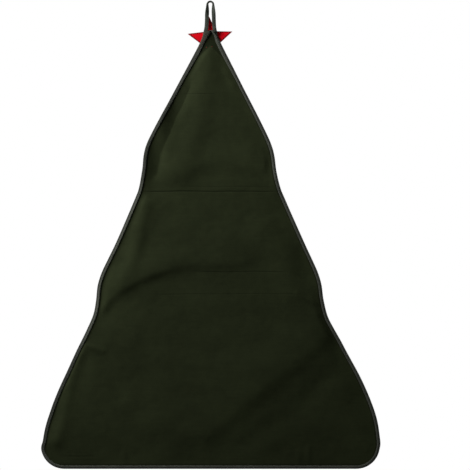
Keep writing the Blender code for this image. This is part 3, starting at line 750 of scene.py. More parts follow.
edge_points, edge_length = edge_walk(BINDING_SPACING)


def tip_spread(z):
    """How much wider the binding's rear half is near the tip."""
    start, full, end, gone = TIP_SPREAD_HEIGHTS
    return 1 + TIP_SPREAD * ease((z - start) / (full - start)) * ease((gone - z) / (gone - end))


def binding_place(column, row):
    """A point of the tape's outer face, along the edge and from its rear edge to its front one."""
    point, inward = edge_points[column % len(edge_points)]
    inset, depth, _ = BINDING_PROFILE[row]
    if depth > 0:
        inset *= tip_spread(point.y)
    if depth > 0 and point.y > TIP_Z - TIP_CORNER_RADIUS:
        middle, reach, share = TIP_CUT
        inset *= 1 - share * math.exp(-((point.x - middle) / reach) ** 2)
    return hung_place(point + inward * inset, depth)


def tape_wear(column, row):
    """How much painted shade the tape has at a point, below 0 where it has a painted highlight."""
    point, _ = edge_points[column % len(edge_points)]
    inset, depth, profile_shade = BINDING_PROFILE[row]
    if point.x < 0 or depth < 0:
        return profile_shade
    low, light, still_light, high = PAINTED_LIGHT_HEIGHTS
    middle = ease((point.y - low) / (light - low)) * ease((high - point.y) / (high - still_light))
    turn, ridge = (end + (centre - end) * middle for end, centre in (TURN_PAINTED_SHADE, RIDGE_PAINTED_LIGHT))
    start, full = PAINTED_LIGHT_INSETS
    extra = turn + (ridge - turn) * ease((inset - start) / (full - start))
    lowest, highest, fade = PAINTED_LIGHT_ENDS
    extra *= ease((point.y - lowest) / fade) * ease((highest - point.y) / fade)
    return min(profile_shade + extra, MOST_PAINTED_SHADE)


profile_line = [Vector(place[:2]) for place in BINDING_PROFILE]
tape_width = reaches_of(profile_line)[-1]
tape_grey = canvas("tape_grey", BINDING_GREY, tape=True)
thread_grey = thread("thread_grey", THREAD_GREY)
tape = cloth_grid(len(edge_points), len(BINDING_PROFILE) - 1, binding_place, (edge_length, tape_width))
# Painted shade and painted highlight on the tape, kept on its points.
painted_shade = tape.verts.layers.float.new("painted_shade")
for number, corner in enumerate(tape.verts):
    row, column = divmod(number, len(edge_points) + 1)
    corner[painted_shade] = tape_wear(column, row)
bmesh.ops.remove_doubles(tape, verts=tape.verts[:], dist=TINY)
tape.normal_update()
bmesh.ops.solidify(tape, geom=tape.faces[:], thickness=BINDING_TAPE)
binding = add_piece("edge_tape", tape, tape_grey, "calendar", ["edge_binding"])

seam = bmesh.new()
closed_walk = edge_points + edge_points[:1]
rear_walk = [(point, inward * tip_spread(point.y)) for point, inward in closed_walk]
sew(seam, inset_path(rear_walk, SEAM_INSET, REAR_SEAM_Y), REARWARD)
sew(seam, inset_path(closed_walk, SEAM_INSET, FRONT_SEAM_Y), FRONTWARD)
add_piece("edge_tape_stitches", seam, thread_grey, "calendar")


# The star over the tip: two layers of red felt, stitched together round their edges with a
# little wadding between them, and tacked through to the tip of the tree a little askew.
STAR_RADIUS = 0.0505
STAR_INNER_SHARE = 0.44
STAR_DROP = 0.0205
STAR_TILT_DEGREES = -3
STAR_TIP_ROUNDING = 0.0012
# The distance of the star's edges from its middle, as a share of its radius.
STAR_EDGE_SHARE = 0.3725
STAR_PUFF = 0.0011
# Where the puffed layer's rings of points lie, as shares of the way in from its edge.
STAR_PUFF_RINGS = (0.34, 0.52, 0.72, 0.9)
STAR_EDGE_SHADE_STRENGTH = 0.74
STAR_SEAM_INSET = 0.0024
STAR_RED = (0.40, 0.0016, 0.0060)
THREAD_RED = (0.11, 0.008, 0.008)
TACK_PLACES = ((0.0077, -0.0953), (-0.0041, -0.0936))
TACK_LENGTH = 0.0034
TACK_SLANT = 0.3
TACK_LIFT = 0.0002
# A cut felt edge from its rear face round to its front one: places in from the edge,
# shares of the felt's thickness, and how much painted shade the felt has there.
FELT_EDGE = (
    (0.0029, 0.0, 0.0), (0.0016, 0.0, 0.85), (0.0002, 0.14, 1.0), (0.0, 0.45, 1.0),
    (0.0002, 0.84, 1.0), (0.0010, 1.0, 0.85), (0.0025, 1.1, 0.0),
)


def soften(shape, parts, offset, segments, affect="EDGES"):
    """Round off some of a shape's edges or corners."""
    bmesh.ops.bevel(
        shape, geom=parts, offset=offset, segments=segments, profile=0.5, affect=affect,
        clamp_overlap=True, material=-1,
    )


def star_corners(inset, depth):
    """The star's ten corners in place, drawn in evenly from its edge."""
    reach = STAR_RADIUS - inset / STAR_EDGE_SHARE
    middle = Vector((0, depth, TIP_Z - STAR_DROP))
    corners = []
    for index in range(10):
        turn = math.pi / 2 + math.radians(STAR_TILT_DEGREES) - index * math.pi / 5
        share = 1.0 if index % 2 == 0 else STAR_INNER_SHARE
        corners.append(middle + Vector((math.cos(turn), 0, math.sin(turn))) * (reach * share))
    return corners


def star_layer(rear_y, front_y, puff):
    """One layer of the star, soft at its cut edge, its middle lifted by the wadding."""
    shape = bmesh.new()
    painted_shade = shape.verts.layers.float.new("painted_shade")
    bmesh.ops.create_circle(shape, cap_ends=True, segments=10, radius=STAR_RADIUS)
    for corner, place in zip(shape.verts[:], star_corners(0.0, rear_y)):
        corner.co = place
    soften(shape, shape.verts[:], STAR_TIP_ROUNDING, 3, "VERTICES")
    cap = shape.faces[:][0]
    middle = Vector((0, rear_y, TIP_Z - STAR_DROP))
    edge_reach = STAR_RADIUS * STAR_EDGE_SHARE
    rings = [(inset, share * (front_y - rear_y), painted_darkness) for inset, share, painted_darkness in FELT_EDGE]
    for share in STAR_PUFF_RINGS:
        rings.append((share * edge_reach, front_y - rear_y - puff * math.sin(share * math.pi / 2), 0.0))
    factor, depth = 1 - rings[0][0] / edge_reach, 0.0
    for corner in cap.verts:
        corner.co = middle + (corner.co - middle) * factor
    for order, (inset, level, painted_darkness) in enumerate(rings[1:]):
        wanted, rise = 1 - inset / edge_reach, Vector((0, level - depth, 0))
        grown = bmesh.ops.extrude_face_region(shape, geom=[cap])["geom"]
        for corner in (part for part in grown if isinstance(part, bmesh.types.BMVert)):
            corner.co = middle + (corner.co - middle) * (wanted / factor) + rise
            # Painted shade round the star's cut edge.
            corner[painted_shade] = painted_darkness
        # The first cap stays, as the layer's rear face.
        if order > 0:
            bmesh.ops.delete(shape, geom=[cap], context="FACES_ONLY")
        cap = next(part for part in grown if isinstance(part, bmesh.types.BMFace))
        middle, factor, depth = middle + rise, wanted, level

    bmesh.ops.recalc_face_normals(shape, faces=shape.faces[:])
    return shape


star_red = felt("star_red", STAR_RED, edge_shade_strength=STAR_EDGE_SHADE_STRENGTH)
thread_red = thread("thread_red", THREAD_RED)
for node, puff in (("star_back", 0.0), ("star_front", STAR_PUFF)):
    star_low, star_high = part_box(node)
    layer = star_layer(star_high.y, star_low.y, puff)
    layer_piece = add_piece(f"{node}_felt", layer, star_red, "calendar", [node])

star_seam = bmesh.new()
star_rear_y, star_front_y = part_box("star_back")[1].y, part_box("star_front")[0].y
for depth, outward in ((star_rear_y, REARWARD), (star_front_y - STAR_PUFF / 4, FRONTWARD)):
    corners = star_corners(STAR_SEAM_INSET, depth)
    sew(star_seam, corners + corners[:1], outward)
for x, z in TACK_PLACES:
    rear = FELT_HIGH.y + fold_height(x, z) + TACK_LIFT
    tack = [Vector((x, rear, z)), Vector((x + TACK_LENGTH * TACK_SLANT, rear, z - TACK_LENGTH))]
    sew(star_seam, tack, REARWARD)
add_piece("star_stitches", star_seam, thread_red, "calendar")


# The hanging loop: the tail of the binding tape, folded double and sewn along its open
# edge. It leaves the tip flat, turns edge on over its crown and comes back to the tip,
# where its end is folded under and sewn down.
LOOP_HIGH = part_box("hanging_loop")[1]
LOOP_TAPE_WIDTH = 0.0075
LOOP_TAPE_THICKNESS = 0.0020
LOOP_BASE_WIDTH = 0.0256
LOOP_NECK_RISE = 0.0135
LOOP_NECK_WIDTH = 0.0150
LOOP_CROWN_RADIUS = 0.0052
LOOP_SETBACK = 0.0010
LOOP_TURN_START_SHARE = 0.45
LOOP_TURN_END_SHARE = 0.95
LOOP_STRAND_STEPS = 9
LOOP_CROWN_STEPS = 12
LOOP_TAIL = (0.0118, -0.0100)
LOOP_TAIL_DEPTH = 0.0047
LOOP_TAIL_FADE = 0.0090
LOOP_TAIL_SINK = 0.0048
LOOP_TAIL_SINK_DROP = 0.0030
LOOP_TAIL_SINK_REACH = 0.0068
# The folded tape's outer face from its open edge round its fold and back: places across
# and through it.
LOOP_PROFILE = (
    (-0.00375, -0.0008), (-0.0027, -0.0009), (-0.0018, -0.00105), (0.0008, -0.00115), (0.0029, -0.00095),
    (0.0037, -0.0004), (0.0037, 0.0004), (0.0029, 0.00095), (0.0008, 0.00115), (-0.0018, 0.00105),
    (-0.0027, 0.0009), (-0.00375, 0.0008),
)
LOOP_SEAM_PLACE = -0.0024
# The loop's tape is darker than the binding's, though it is the same tape: painted shade.
LOOP_SHADED_GREY = (0.022, 0.025, 0.020)
# The tape's folded end, sewn flat over the loop's foot and the flank's binding: heights,
# where its outer and inner edges lie, and how deep its face is.
TAPE_END_LEVELS = (
    (-0.1010, 0.0282, 0.0222, 0.0034), (-0.0938, 0.0249, 0.0170, 0.0041), (-0.0846, 0.0208, 0.0109, 0.0044),
    (-0.0765, 0.0179, 0.0058, 0.0048), (-0.0700, 0.0158, 0.0020, 0.0054), (-0.0665, 0.0148, 0.0002, 0.0062),
    (-0.0640, 0.0140, -0.0002, 0.0067), (-0.0628, 0.0135, 0.0000, 0.0066), (-0.0620, 0.0132, 0.0004, 0.0055),
)
TAPE_END_COLUMNS = 10
TAPE_END_DROOP = 0.0012


def heading(points, index):
    """Which way a line runs at one of its points."""
    return (points[min(index + 1, len(points) - 1)] - points[max(index - 1, 0)]).normalized()


def loop_frames():
    """The loop's middle line from its +X tail over the crown to the -X strand's, with its axes."""
    crown_radius = LOOP_CROWN_RADIUS + LOOP_TAPE_THICKNESS / 2
    crown = Vector((0, LOOP_HIGH.z - LOOP_TAPE_THICKNESS / 2 - crown_radius))
    tail = Vector((LOOP_TAIL[0], TIP_Z + LOOP_TAIL[1]))
    base = Vector(((LOOP_BASE_WIDTH - LOOP_TAPE_WIDTH) / 2, TIP_Z))
    neck = Vector((LOOP_NECK_WIDTH / 2, TIP_Z + LOOP_NECK_RISE))
    shoulder = Vector((crown_radius, crown.y))
    strand = curve_through([tail, base, neck, neck.lerp(shoulder, 0.5), shoulder], LOOP_STRAND_STEPS)
    half = strand[:-1] + arc(crown, crown_radius, 0, 90, LOOP_CROWN_STEPS)
    points = half + mirrored(reversed(half[:-1]))
    frames = []
    for index, point in enumerate(points):
        run = heading(points, index)
        share = (point.y - TIP_Z) / (LOOP_HIGH.z - TIP_Z)
        turned = (share - LOOP_TURN_START_SHARE) / (LOOP_TURN_END_SHARE - LOOP_TURN_START_SHARE)
        turn = math.pi / 2 * clamp(turned)
        outward = Vector((run.y, 0, -run.x))
        across = outward * math.cos(turn) + REARWARD * math.sin(turn)
        through = REARWARD * math.cos(turn) - outward * math.sin(turn)
        tucked = 1 - ease((point.y - TIP_Z) / LOOP_TAIL_FADE)
        sunk = LOOP_TAIL_SINK * ease((TIP_Z - LOOP_TAIL_SINK_DROP - point.y) / LOOP_TAIL_SINK_REACH)
        depth = LOOP_SETBACK + (LOOP_TAIL_DEPTH - LOOP_SETBACK) * tucked - sunk
        frames.append((Vector((point.x, depth, point.y)), across, through))
    return frames


loop_line = loop_frames()
loop_profile = [Vector(place) for place in LOOP_PROFILE]


def loop_place(column, row):
    """A point of the loop's outer face, along the loop and from its open edge back to it."""
    middle, across, through = loop_line[column]
    return middle + across * loop_profile[row].x + through * loop_profile[row].y


loop_length = reaches_of([middle for middle, _, _ in loop_line])[-1]
loop_width = reaches_of(loop_profile)[-1]
loop_shape = cloth_grid(len(loop_line) - 1, len(loop_profile) - 1, loop_place, (loop_length, loop_width))
bmesh.ops.solidify(loop_shape, geom=loop_shape.faces[:], thickness=BINDING_TAPE)
loop_shaded_grey = canvas("loop_tape_shaded_grey", LOOP_SHADED_GREY, tape=True)
loop_tape = add_piece("loop_tape", loop_shape, loop_shaded_grey, None, ["hanging_loop"])
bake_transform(loop_tape)

loop_seam = bmesh.new()
for side in (1, -1):
    faces = [through * side for _, _, through in loop_line]
    reach = LOOP_PROFILE[1][1] * side
    path = [middle + across * LOOP_SEAM_PLACE - through * reach for middle, across, through in loop_line]
    sew(loop_seam, path, faces)
loop_stitches = add_piece("loop_stitches", loop_seam, thread_grey, None)
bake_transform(loop_stitches)


def tape_end_place(column, row):
    """A point of the folded end's outer face, across it and up it."""
    z, outer, inner, depth = TAPE_END_LEVELS[row]
    share = column / TAPE_END_COLUMNS
    droop = TAPE_END_DROOP * abs(2 * share - 1) ** 5
    return Vector((outer + (inner - outer) * share, depth - droop, z))


tape_end_width = TAPE_END_LEVELS[4][1] - TAPE_END_LEVELS[4][2]
tape_end_flat = (tape_end_width, TAPE_END_LEVELS[-1][0] - TAPE_END_LEVELS[0][0])
tape_end = cloth_grid(TAPE_END_COLUMNS, len(TAPE_END_LEVELS) - 1, tape_end_place, tape_end_flat)
bmesh.ops.solidify(tape_end, geom=tape_end.faces[:], thickness=BINDING_TAPE * 2)
folded_shaded_grey = canvas("folded_tape_shaded_grey", FOLDED_SHADED_GREY, tape=True)
add_piece("loop_tape_end", tape_end, folded_shaded_grey, "calendar")


# The pocket strips: eight strips of the same canvas, hemmed along the top. Each is sewn to
# the front panel at its ends, along its foot and between its pockets, and is cut full, so
# that every pocket gapes at its mouth.
POCKET_WIDTH = 0.115
POCKET_HEIGHT = 0.086
POCKET_CANVAS = 0.0009
POCKET_SEAM = 0.003
POCKET_SIDE_SLOPE = 0.019
POCKET_FOOT_SLOPE = 0.017
POCKET_FOOT_DEPTH = 0.0055
POCKET_MOUTH_DEPTH = 0.0110
POCKET_INSIDE_Y = CANVAS_LOW.y - 0.0003
STRIP_FACE_Y = POCKET_INSIDE_Y - POCKET_CANVAS
POCKET_FULLNESS = 1.03
HEM_HEIGHT = 0.0095
HEM_BULK = 0.0014
HEM_BEND = 0.0010
MOUTH_SAG = 0.0016
HEM_SEAM_SHARE = 0.8
SLOPE_STEPS = 8
PLATEAU_STEPS = 14
FRONT_STEPS = 17
HEM_BEND_STEPS = 4
HEM_STEPS = 3
POCKET_GREEN = (0.0440, 0.0520, 0.0410)
THREAD_GREEN = (0.075, 0.085, 0.066)
# Wrinkles all over each pocket: height, turns a metre across and up, their mean level as a
# share, and how far the noise moves on from row to row and from pocket to pocket.
WRINKLE_HEIGHT = 0.0030
WRINKLE_SCALE = (28.0, 46.0)
WRINKLE_LEVEL = 0.1
WRINKLE_SHIFTS = (3.7, 1.9)
# Folds in each pocket as places across and up from its lower left corner, then their
# height and spread. They keep off the figure.
POCKET_FOLDS = (
    ((0.005, 0.008), (0.030, 0.036), 0.0017, 0.0032),
    ((0.111, 0.006), (0.097, 0.032), 0.0017, 0.0032),
    ((0.010, 0.062), (0.042, 0.079), 0.0016, 0.0038),
    ((0.109, 0.050), (0.093, 0.079), 0.0014, 0.0036),
    ((0.020, 0.005), (0.047, 0.017), 0.0011, 0.0030),
    ((0.088, 0.004), (0.078, 0.014), 0.0011, 0.0028),
    ((0.006, 0.034), (0.024, 0.046), 0.0012, 0.0030),
)
SLOPE_REACH = 0.0005
SEAM_STEP = 0.003
SIDE_SEAM_STEPS = 20
# Where the figures lie on the pockets, which are smooth under them.
FIGURE_SIDESTEP = 0.012
FIGURE_CENTRE_RISE = 0.046
FIGURE_CLEARANCE = (0.034, 0.038)
FIGURE_CLEARANCE_FADE = 0.35


def swell(share):
    """0 to 1, steep at first and level at its end, as cloth swells away from a seam."""
    return 1 - (1 - clamp(share)) ** 2


def pocket_face(row, x, z):
    """The depth of a strip's outer face at a place on it."""
    low = row_boxes[row][0]
    number = clamp(int((x - low.x) / POCKET_WIDTH), 0, ROW_POCKETS[row] - 1)
    inside, height = x - low.x - number * POCKET_WIDTH, z - low.z
    from_seam = min(inside, POCKET_WIDTH - inside) - POCKET_SEAM
    plateau_foot = POCKET_SEAM + POCKET_FOOT_SLOPE
    depth = POCKET_FOOT_DEPTH * swell((height - POCKET_SEAM) / POCKET_FOOT_SLOPE)
    rise = (height - plateau_foot) / (POCKET_HEIGHT - plateau_foot)
    depth += (POCKET_MOUTH_DEPTH - POCKET_FOOT_DEPTH) * max(rise, 0.0)
    lift = depth * swell(from_seam / POCKET_SIDE_SLOPE)
    hem = HEM_BULK * ease((height - POCKET_HEIGHT + HEM_HEIGHT * 1.5) / (HEM_HEIGHT * 0.5))
    figure_x = (inside - POCKET_WIDTH / 2 - FIGURE_SIDESTEP) / FIGURE_CLEARANCE[0]
    figure_z = (height - FIGURE_CENTRE_RISE) / FIGURE_CLEARANCE[1]
    free = ease((math.hypot(figure_x, figure_z) - 1.0) / FIGURE_CLEARANCE_FADE)
    free *= ease(from_seam / POCKET_SEAM)
    free *= ease(height / POCKET_FOOT_SLOPE)
    shift = row * WRINKLE_SHIFTS[0] + number * WRINKLE_SHIFTS[1]
    ripple = noise.noise(Vector((x * WRINKLE_SCALE[0], z * WRINKLE_SCALE[1], shift)))
    from_corner = inside if (row + number) % 2 else POCKET_WIDTH - inside
    folds = straight_folds(from_corner, height, POCKET_FOLDS)
    lift += free * (folds + WRINKLE_HEIGHT * (WRINKLE_LEVEL + ripple))
    return STRIP_FACE_Y - max(lift, hem) + hang(x, z)


def face_outward(row, x, z):
    """The way out from a strip's face at a place, towards the front."""
    reach = SLOPE_REACH
    slope_x = (pocket_face(row, x + reach, z) - pocket_face(row, x - reach, z)) / (2 * reach)
    slope_z = (pocket_face(row, x, z + reach) - pocket_face(row, x, z - reach)) / (2 * reach)
    return Vector((slope_x, -1.0, slope_z)).normalized()


def pocket_columns(count, left_x):
    """Places across a strip, close together on the slopes of its pockets."""
    half = [0.0, POCKET_SEAM / 2, POCKET_SEAM]
    half += [POCKET_SEAM + POCKET_SIDE_SLOPE * step / SLOPE_STEPS for step in range(1, SLOPE_STEPS + 1)]
    flat = POCKET_WIDTH - 2 * half[-1]
    middle = [half[-1] + flat * step / PLATEAU_STEPS for step in range(1, PLATEAU_STEPS)]
    one = half + middle + [POCKET_WIDTH - place for place in reversed(half)]
    places = [left_x]
    for number in range(count):
        places += [left_x + number * POCKET_WIDTH + place for place in one[1:]]
    return places


def pocket_levels():
    """Heights up a strip's front, close together on the slopes at its pockets' feet."""
    levels = [0.0, POCKET_SEAM / 2, POCKET_SEAM]
    levels += [POCKET_SEAM + POCKET_FOOT_SLOPE * step / SLOPE_STEPS for step in range(1, SLOPE_STEPS + 1)]
    rise = POCKET_HEIGHT - HEM_BEND - levels[-1]
    return levels + [levels[-1] + rise * step / FRONT_STEPS for step in range(1, FRONT_STEPS + 1)]


pocket_green = canvas("pocket_green", POCKET_GREEN)
thread_green = thread("thread_green", THREAD_GREEN)
levels = pocket_levels()
hem_turns = [math.pi * step / HEM_BEND_STEPS for step in range(1, HEM_BEND_STEPS + 1)]
hem_drops = [HEM_HEIGHT * step / HEM_STEPS for step in range(1, HEM_STEPS + 1)]
row_total = len(levels) + len(hem_turns) + len(hem_drops) - 1


def mouth_sag(row, x, height=POCKET_HEIGHT):
    """How far the strip dips between its seams, most at its mouth."""
    inside = (x - row_boxes[row][0].x) % POCKET_WIDTH
    return MOUTH_SAG * math.sin(math.pi * inside / POCKET_WIDTH) ** 2 * (height / POCKET_HEIGHT) ** 3


def sew_across(seams, row, height, inset):
    """Stitches along a strip at a height, up to an inset from its ends."""
    low, high = row_boxes[row]
    start_x, end_x = low.x + inset, high.x - inset
    steps = round((end_x - start_x) / SEAM_STEP)
    spots = [start_x + (end_x - start_x) * step / steps for step in range(steps + 1)]
    z = low.z + height
    path = [Vector((x, pocket_face(row, x, z), z - mouth_sag(row, x, height))) for x in spots]
    sew(seams, path, [face_outward(row, x, z) for x in spots])


for row, count in enumerate(ROW_POCKETS):
    low = row_boxes[row][0]
    places = pocket_columns(count, low.x)

    def strip_place(column, level):
        """A point of the strip's outer face, or of its hem behind the mouth."""
        x = places[column]
        if level < len(levels):
            z = low.z + levels[level]
            return Vector((x, pocket_face(row, x, z), z - mouth_sag(row, x, levels[level])))
        top_z, step = low.z + levels[-1], level - len(levels)
        if step < len(hem_turns):
            turn = hem_turns[step]
            front_y, rise = pocket_face(row, x, top_z), HEM_BEND * math.sin(turn)
            return Vector((x, front_y + HEM_BEND * (1 - math.cos(turn)), top_z - mouth_sag(row, x) + rise))
        drop = hem_drops[step - len(hem_turns)]
        inner_y = pocket_face(row, x, top_z - drop) + 2 * HEM_BEND
        return Vector((x, inner_y, top_z - drop - mouth_sag(row, x)))

    full_width = count * POCKET_WIDTH * POCKET_FULLNESS
    full_height = POCKET_HEIGHT + HEM_HEIGHT + HEM_BEND
    strip = cloth_grid(len(places) - 1, row_total, strip_place, (full_width, full_height))
    bmesh.ops.solidify(strip, geom=strip.faces[:], thickness=POCKET_CANVAS)
    name = f"pocket_strip_{row + 1}"
    piece = add_piece(name, strip, pocket_green, "calendar", [f"pocket_row_{row + 1}"])

    seams = bmesh.new()
    sew_across(seams, row, POCKET_SEAM / 2, 0.0)
    sew_across(seams, row, POCKET_HEIGHT - HEM_HEIGHT * HEM_SEAM_SHARE, POCKET_SEAM)
    side = POCKET_HEIGHT - POCKET_SEAM
    for number in range(count + 1):
        x = low.x + number * POCKET_WIDTH
        x += {0: POCKET_SEAM / 2, count: -POCKET_SEAM / 2}.get(number, 0.0)
        steps = range(SIDE_SEAM_STEPS + 1)
        rises = [low.z + POCKET_SEAM + side * step / SIDE_SEAM_STEPS for step in steps]
        sew(seams, [Vector((x, pocket_face(row, x, z), z)) for z in rises], FRONTWARD)
    add_piece(f"{name}_stitches", seams, thread_green, "calendar")


# The numbers: 1 to 24, satin-stitched in red thread on the pockets, to the left of the
# figures and low down.
NUMBER_SIZE = 0.0198
NUMBER_SIDESTEP = -0.0310
NUMBER_RISE = 0.0150
NUMBER_THICKNESS = 0.0004
NUMBER_RED = (0.36, 0.020, 0.020)
NUMBER_CURVE_STEPS = 4
# The pitch of the rows of satin stitch, and how they slant, in radians a metre across.
SATIN_PITCH = 0.00055
SATIN_SLANT = 300.0
SATIN_CLOUD = 120.0
SATIN_SHEEN = 0.1
SATIN_SPECULAR = 0.4


def satin(name, colour):
    """Satin stitch: rows of thread laid side by side, with a silky gloss."""
    surface, place, shader = new_material(name, SATIN_SHEEN, SATIN_SPECULAR)
    x, _, z = place.parts()
    rows = (z * (2 * math.pi / SATIN_PITCH) + x * SATIN_SLANT).maths("SINE")
    cloud = place.noise(SATIN_CLOUD, 2.0, 0.5)
    (0.62 + rows * 0.16 + cloud * 0.5).shaded(colour).feed(shader, "Base Color")
    (0.42 + cloud * 0.25).feed(shader, "Roughness")
    rows.emboss(shader, 0.45, 0.00015)
    return surface


def pocket_middle(row, pocket):
    """Where a pocket's middle lies along its row."""
    return row_boxes[row][0].x + (pocket + 0.5) * POCKET_WIDTH


number_red = satin("number_red", NUMBER_RED)
pockets = [(row, pocket) for row, count in enumerate(ROW_POCKETS) for pocket in range(count)]
for number, (row, pocket) in enumerate(pockets, start=1):
    letters = bpy.data.curves.new(f"number_{number}", "FONT")
    letters.body = str(number)
    letters.size = NUMBER_SIZE
    letters.align_x = "CENTER"
    letters.extrude = NUMBER_THICKNESS / 2
    letters.bevel_depth = NUMBER_THICKNESS / 2
    letters.bevel_resolution = 1
    letters.resolution_u = NUMBER_CURVE_STEPS
    written = bpy.data.objects.new("written", letters)
    drawn = bpy.data.meshes.new_from_object(written)
    bpy.data.objects.remove(written)
    digits = bmesh.new()
    digits.from_mesh(drawn)
    bpy.data.meshes.remove(drawn)
    bmesh.ops.remove_doubles(digits, verts=digits.verts[:], dist=TINY)
    middle_x, foot_z = pocket_middle(row, pocket) + NUMBER_SIDESTEP, row_boxes[row][0].z + NUMBER_RISE
    for corner in digits.verts:
        x, z = middle_x + corner.co.x, foot_z + corner.co.y
        lift = NUMBER_THICKNESS * 0.75 + corner.co.z
        corner.co = Vector((x, pocket_face(row, x, z), z)) + face_outward(row, x, z) * lift
    add_piece(f"number_{number:02d}", digits, number_red, "calendar")


# The figures: 24 shapes cut from coloured felt, one sewn to the front of each pocket with
# small running stitches. Details in felt and thread of other colours lie on each.
FIGURE_FELT = 0.0015
SEWN_GAP = 0.0003
FIGURE_RIM = 0.00045
FIGURE_RIM_WELD = 0.0003
FIGURE_SHADE_INSET = 0.00025
FIGURE_SEAM_INSET = 0.0015
FIGURE_STITCHES = 0.6
DETAIL_THICKNESS = 0.0006
DETAIL_SUNK = 0.0003
DETAIL_STEP = 0.0003
DETAIL_RIM = 0.00028
MILLIMETRE = 0.001
FIGURE_SHEEN = 0.06
FIGURE_THREAD_SHADE = 0.5
# How squarely a face of the plate looks to the front, before and after its rim is rounded,
# and how little its outline bends where it counts as straight.
FRONT_FACING = 0.9
FLAT_FACING = 0.99
STRAIGHT_ANGLE = 0.02
# The one figure with a hole, whose front isn't a single outline.
RING_FIGURE = "12_wreath"
PLATEAU_FOOT = POCKET_SEAM + POCKET_FOOT_SLOPE
PLATEAU_SLOPE = (POCKET_MOUTH_DEPTH - POCKET_FOOT_DEPTH) / (POCKET_HEIGHT - PLATEAU_FOOT)
FELT_COLOURS = {
    "cream": (0.78, 0.66, 0.42), "gold": (0.66, 0.36, 0.05), "brown": (0.22, 0.090, 0.035),
    "ginger": (0.40, 0.105, 0.035), "red": (0.50, 0.012, 0.014), "silver": (0.46, 0.50, 0.46),
    "rose": (0.54, 0.20, 0.16), "orange": (0.74, 0.21, 0.025), "sage": (0.33, 0.43, 0.25),
    "green": (0.045, 0.200, 0.065), "white": (0.78, 0.77, 0.73), "dark": (0.020, 0.013, 0.010),
}


def dot(x, z, radius):
    """A round detail's outline, in millimetres from the figure's middle like all of them."""
    turns = [math.pi * step / 6 for step in range(12)]
    return [Vector((x + math.cos(turn) * radius, z + math.sin(turn) * radius)) for turn in turns]


def dots(radius, *places):
    """Several round details of one size."""
    return [dot(x, z, radius) for x, z in places]


def leaf(start_x, start_z, end_x, end_z, width):
    """A leaf's outline, pointed at both ends."""
    start, run = Vector((start_x, start_z)), Vector((end_x - start_x, end_z - start_z))
    across = Vector((-run.y, run.x)).normalized() * (width / 2)
    shares = [step / 6 for step in range(7)]
    upper = [start + run * share + across * math.sin(math.pi * share) for share in shares[:-1]]
    lower = [start + run * share - across * math.sin(math.pi * share) for share in shares[:0:-1]]
    return upper + lower


def bar(width, *places):
    """The outline of a band of one width along a line."""
    line = [Vector(place) for place in places]
    ways = [heading(line, index) for index in range(len(line))]
    sides = [Vector((-way.y, way.x)) * (width / 2) for way in ways]
    upper = [point + side for point, side in zip(line, sides)]
    lower = [point - side for point, side in zip(line, sides)]
    return upper + lower[::-1]


def band(width, reach, z):
    """A level band that reaches equally far to both sides."""
    return bar(width, (-reach, z), (reach, z))


def patch(*places):
    """An outline given by its corners."""
    return [Vector(place) for place in places]


def block(reach, low, high):
    """An upright rectangle that reaches equally far to both sides."""
    return patch((-reach, low), (reach, low), (reach, high), (-reach, high))


def both(*outlines):
    """Outlines and their mirror images."""
    return [*outlines, *(mirrored(outline) for outline in outlines)]


def spokes(count, inner, outer, width, middle_z=0.0, start_degrees=90.0):
    """Leaves that point out from a middle."""
    leaves = []
    for index in range(count):
        turn = math.radians(start_degrees + 360.0 * index / count)
        x, z = math.cos(turn), math.sin(turn)
        leaves.append(leaf(inner * x, middle_z + inner * z, outer * x, middle_z + outer * z, width))
    return leaves


BEARD = patch((-9, -5), (9, -5), (11, -14), (6, -22), (0, -28), (-6, -22), (-11, -14))
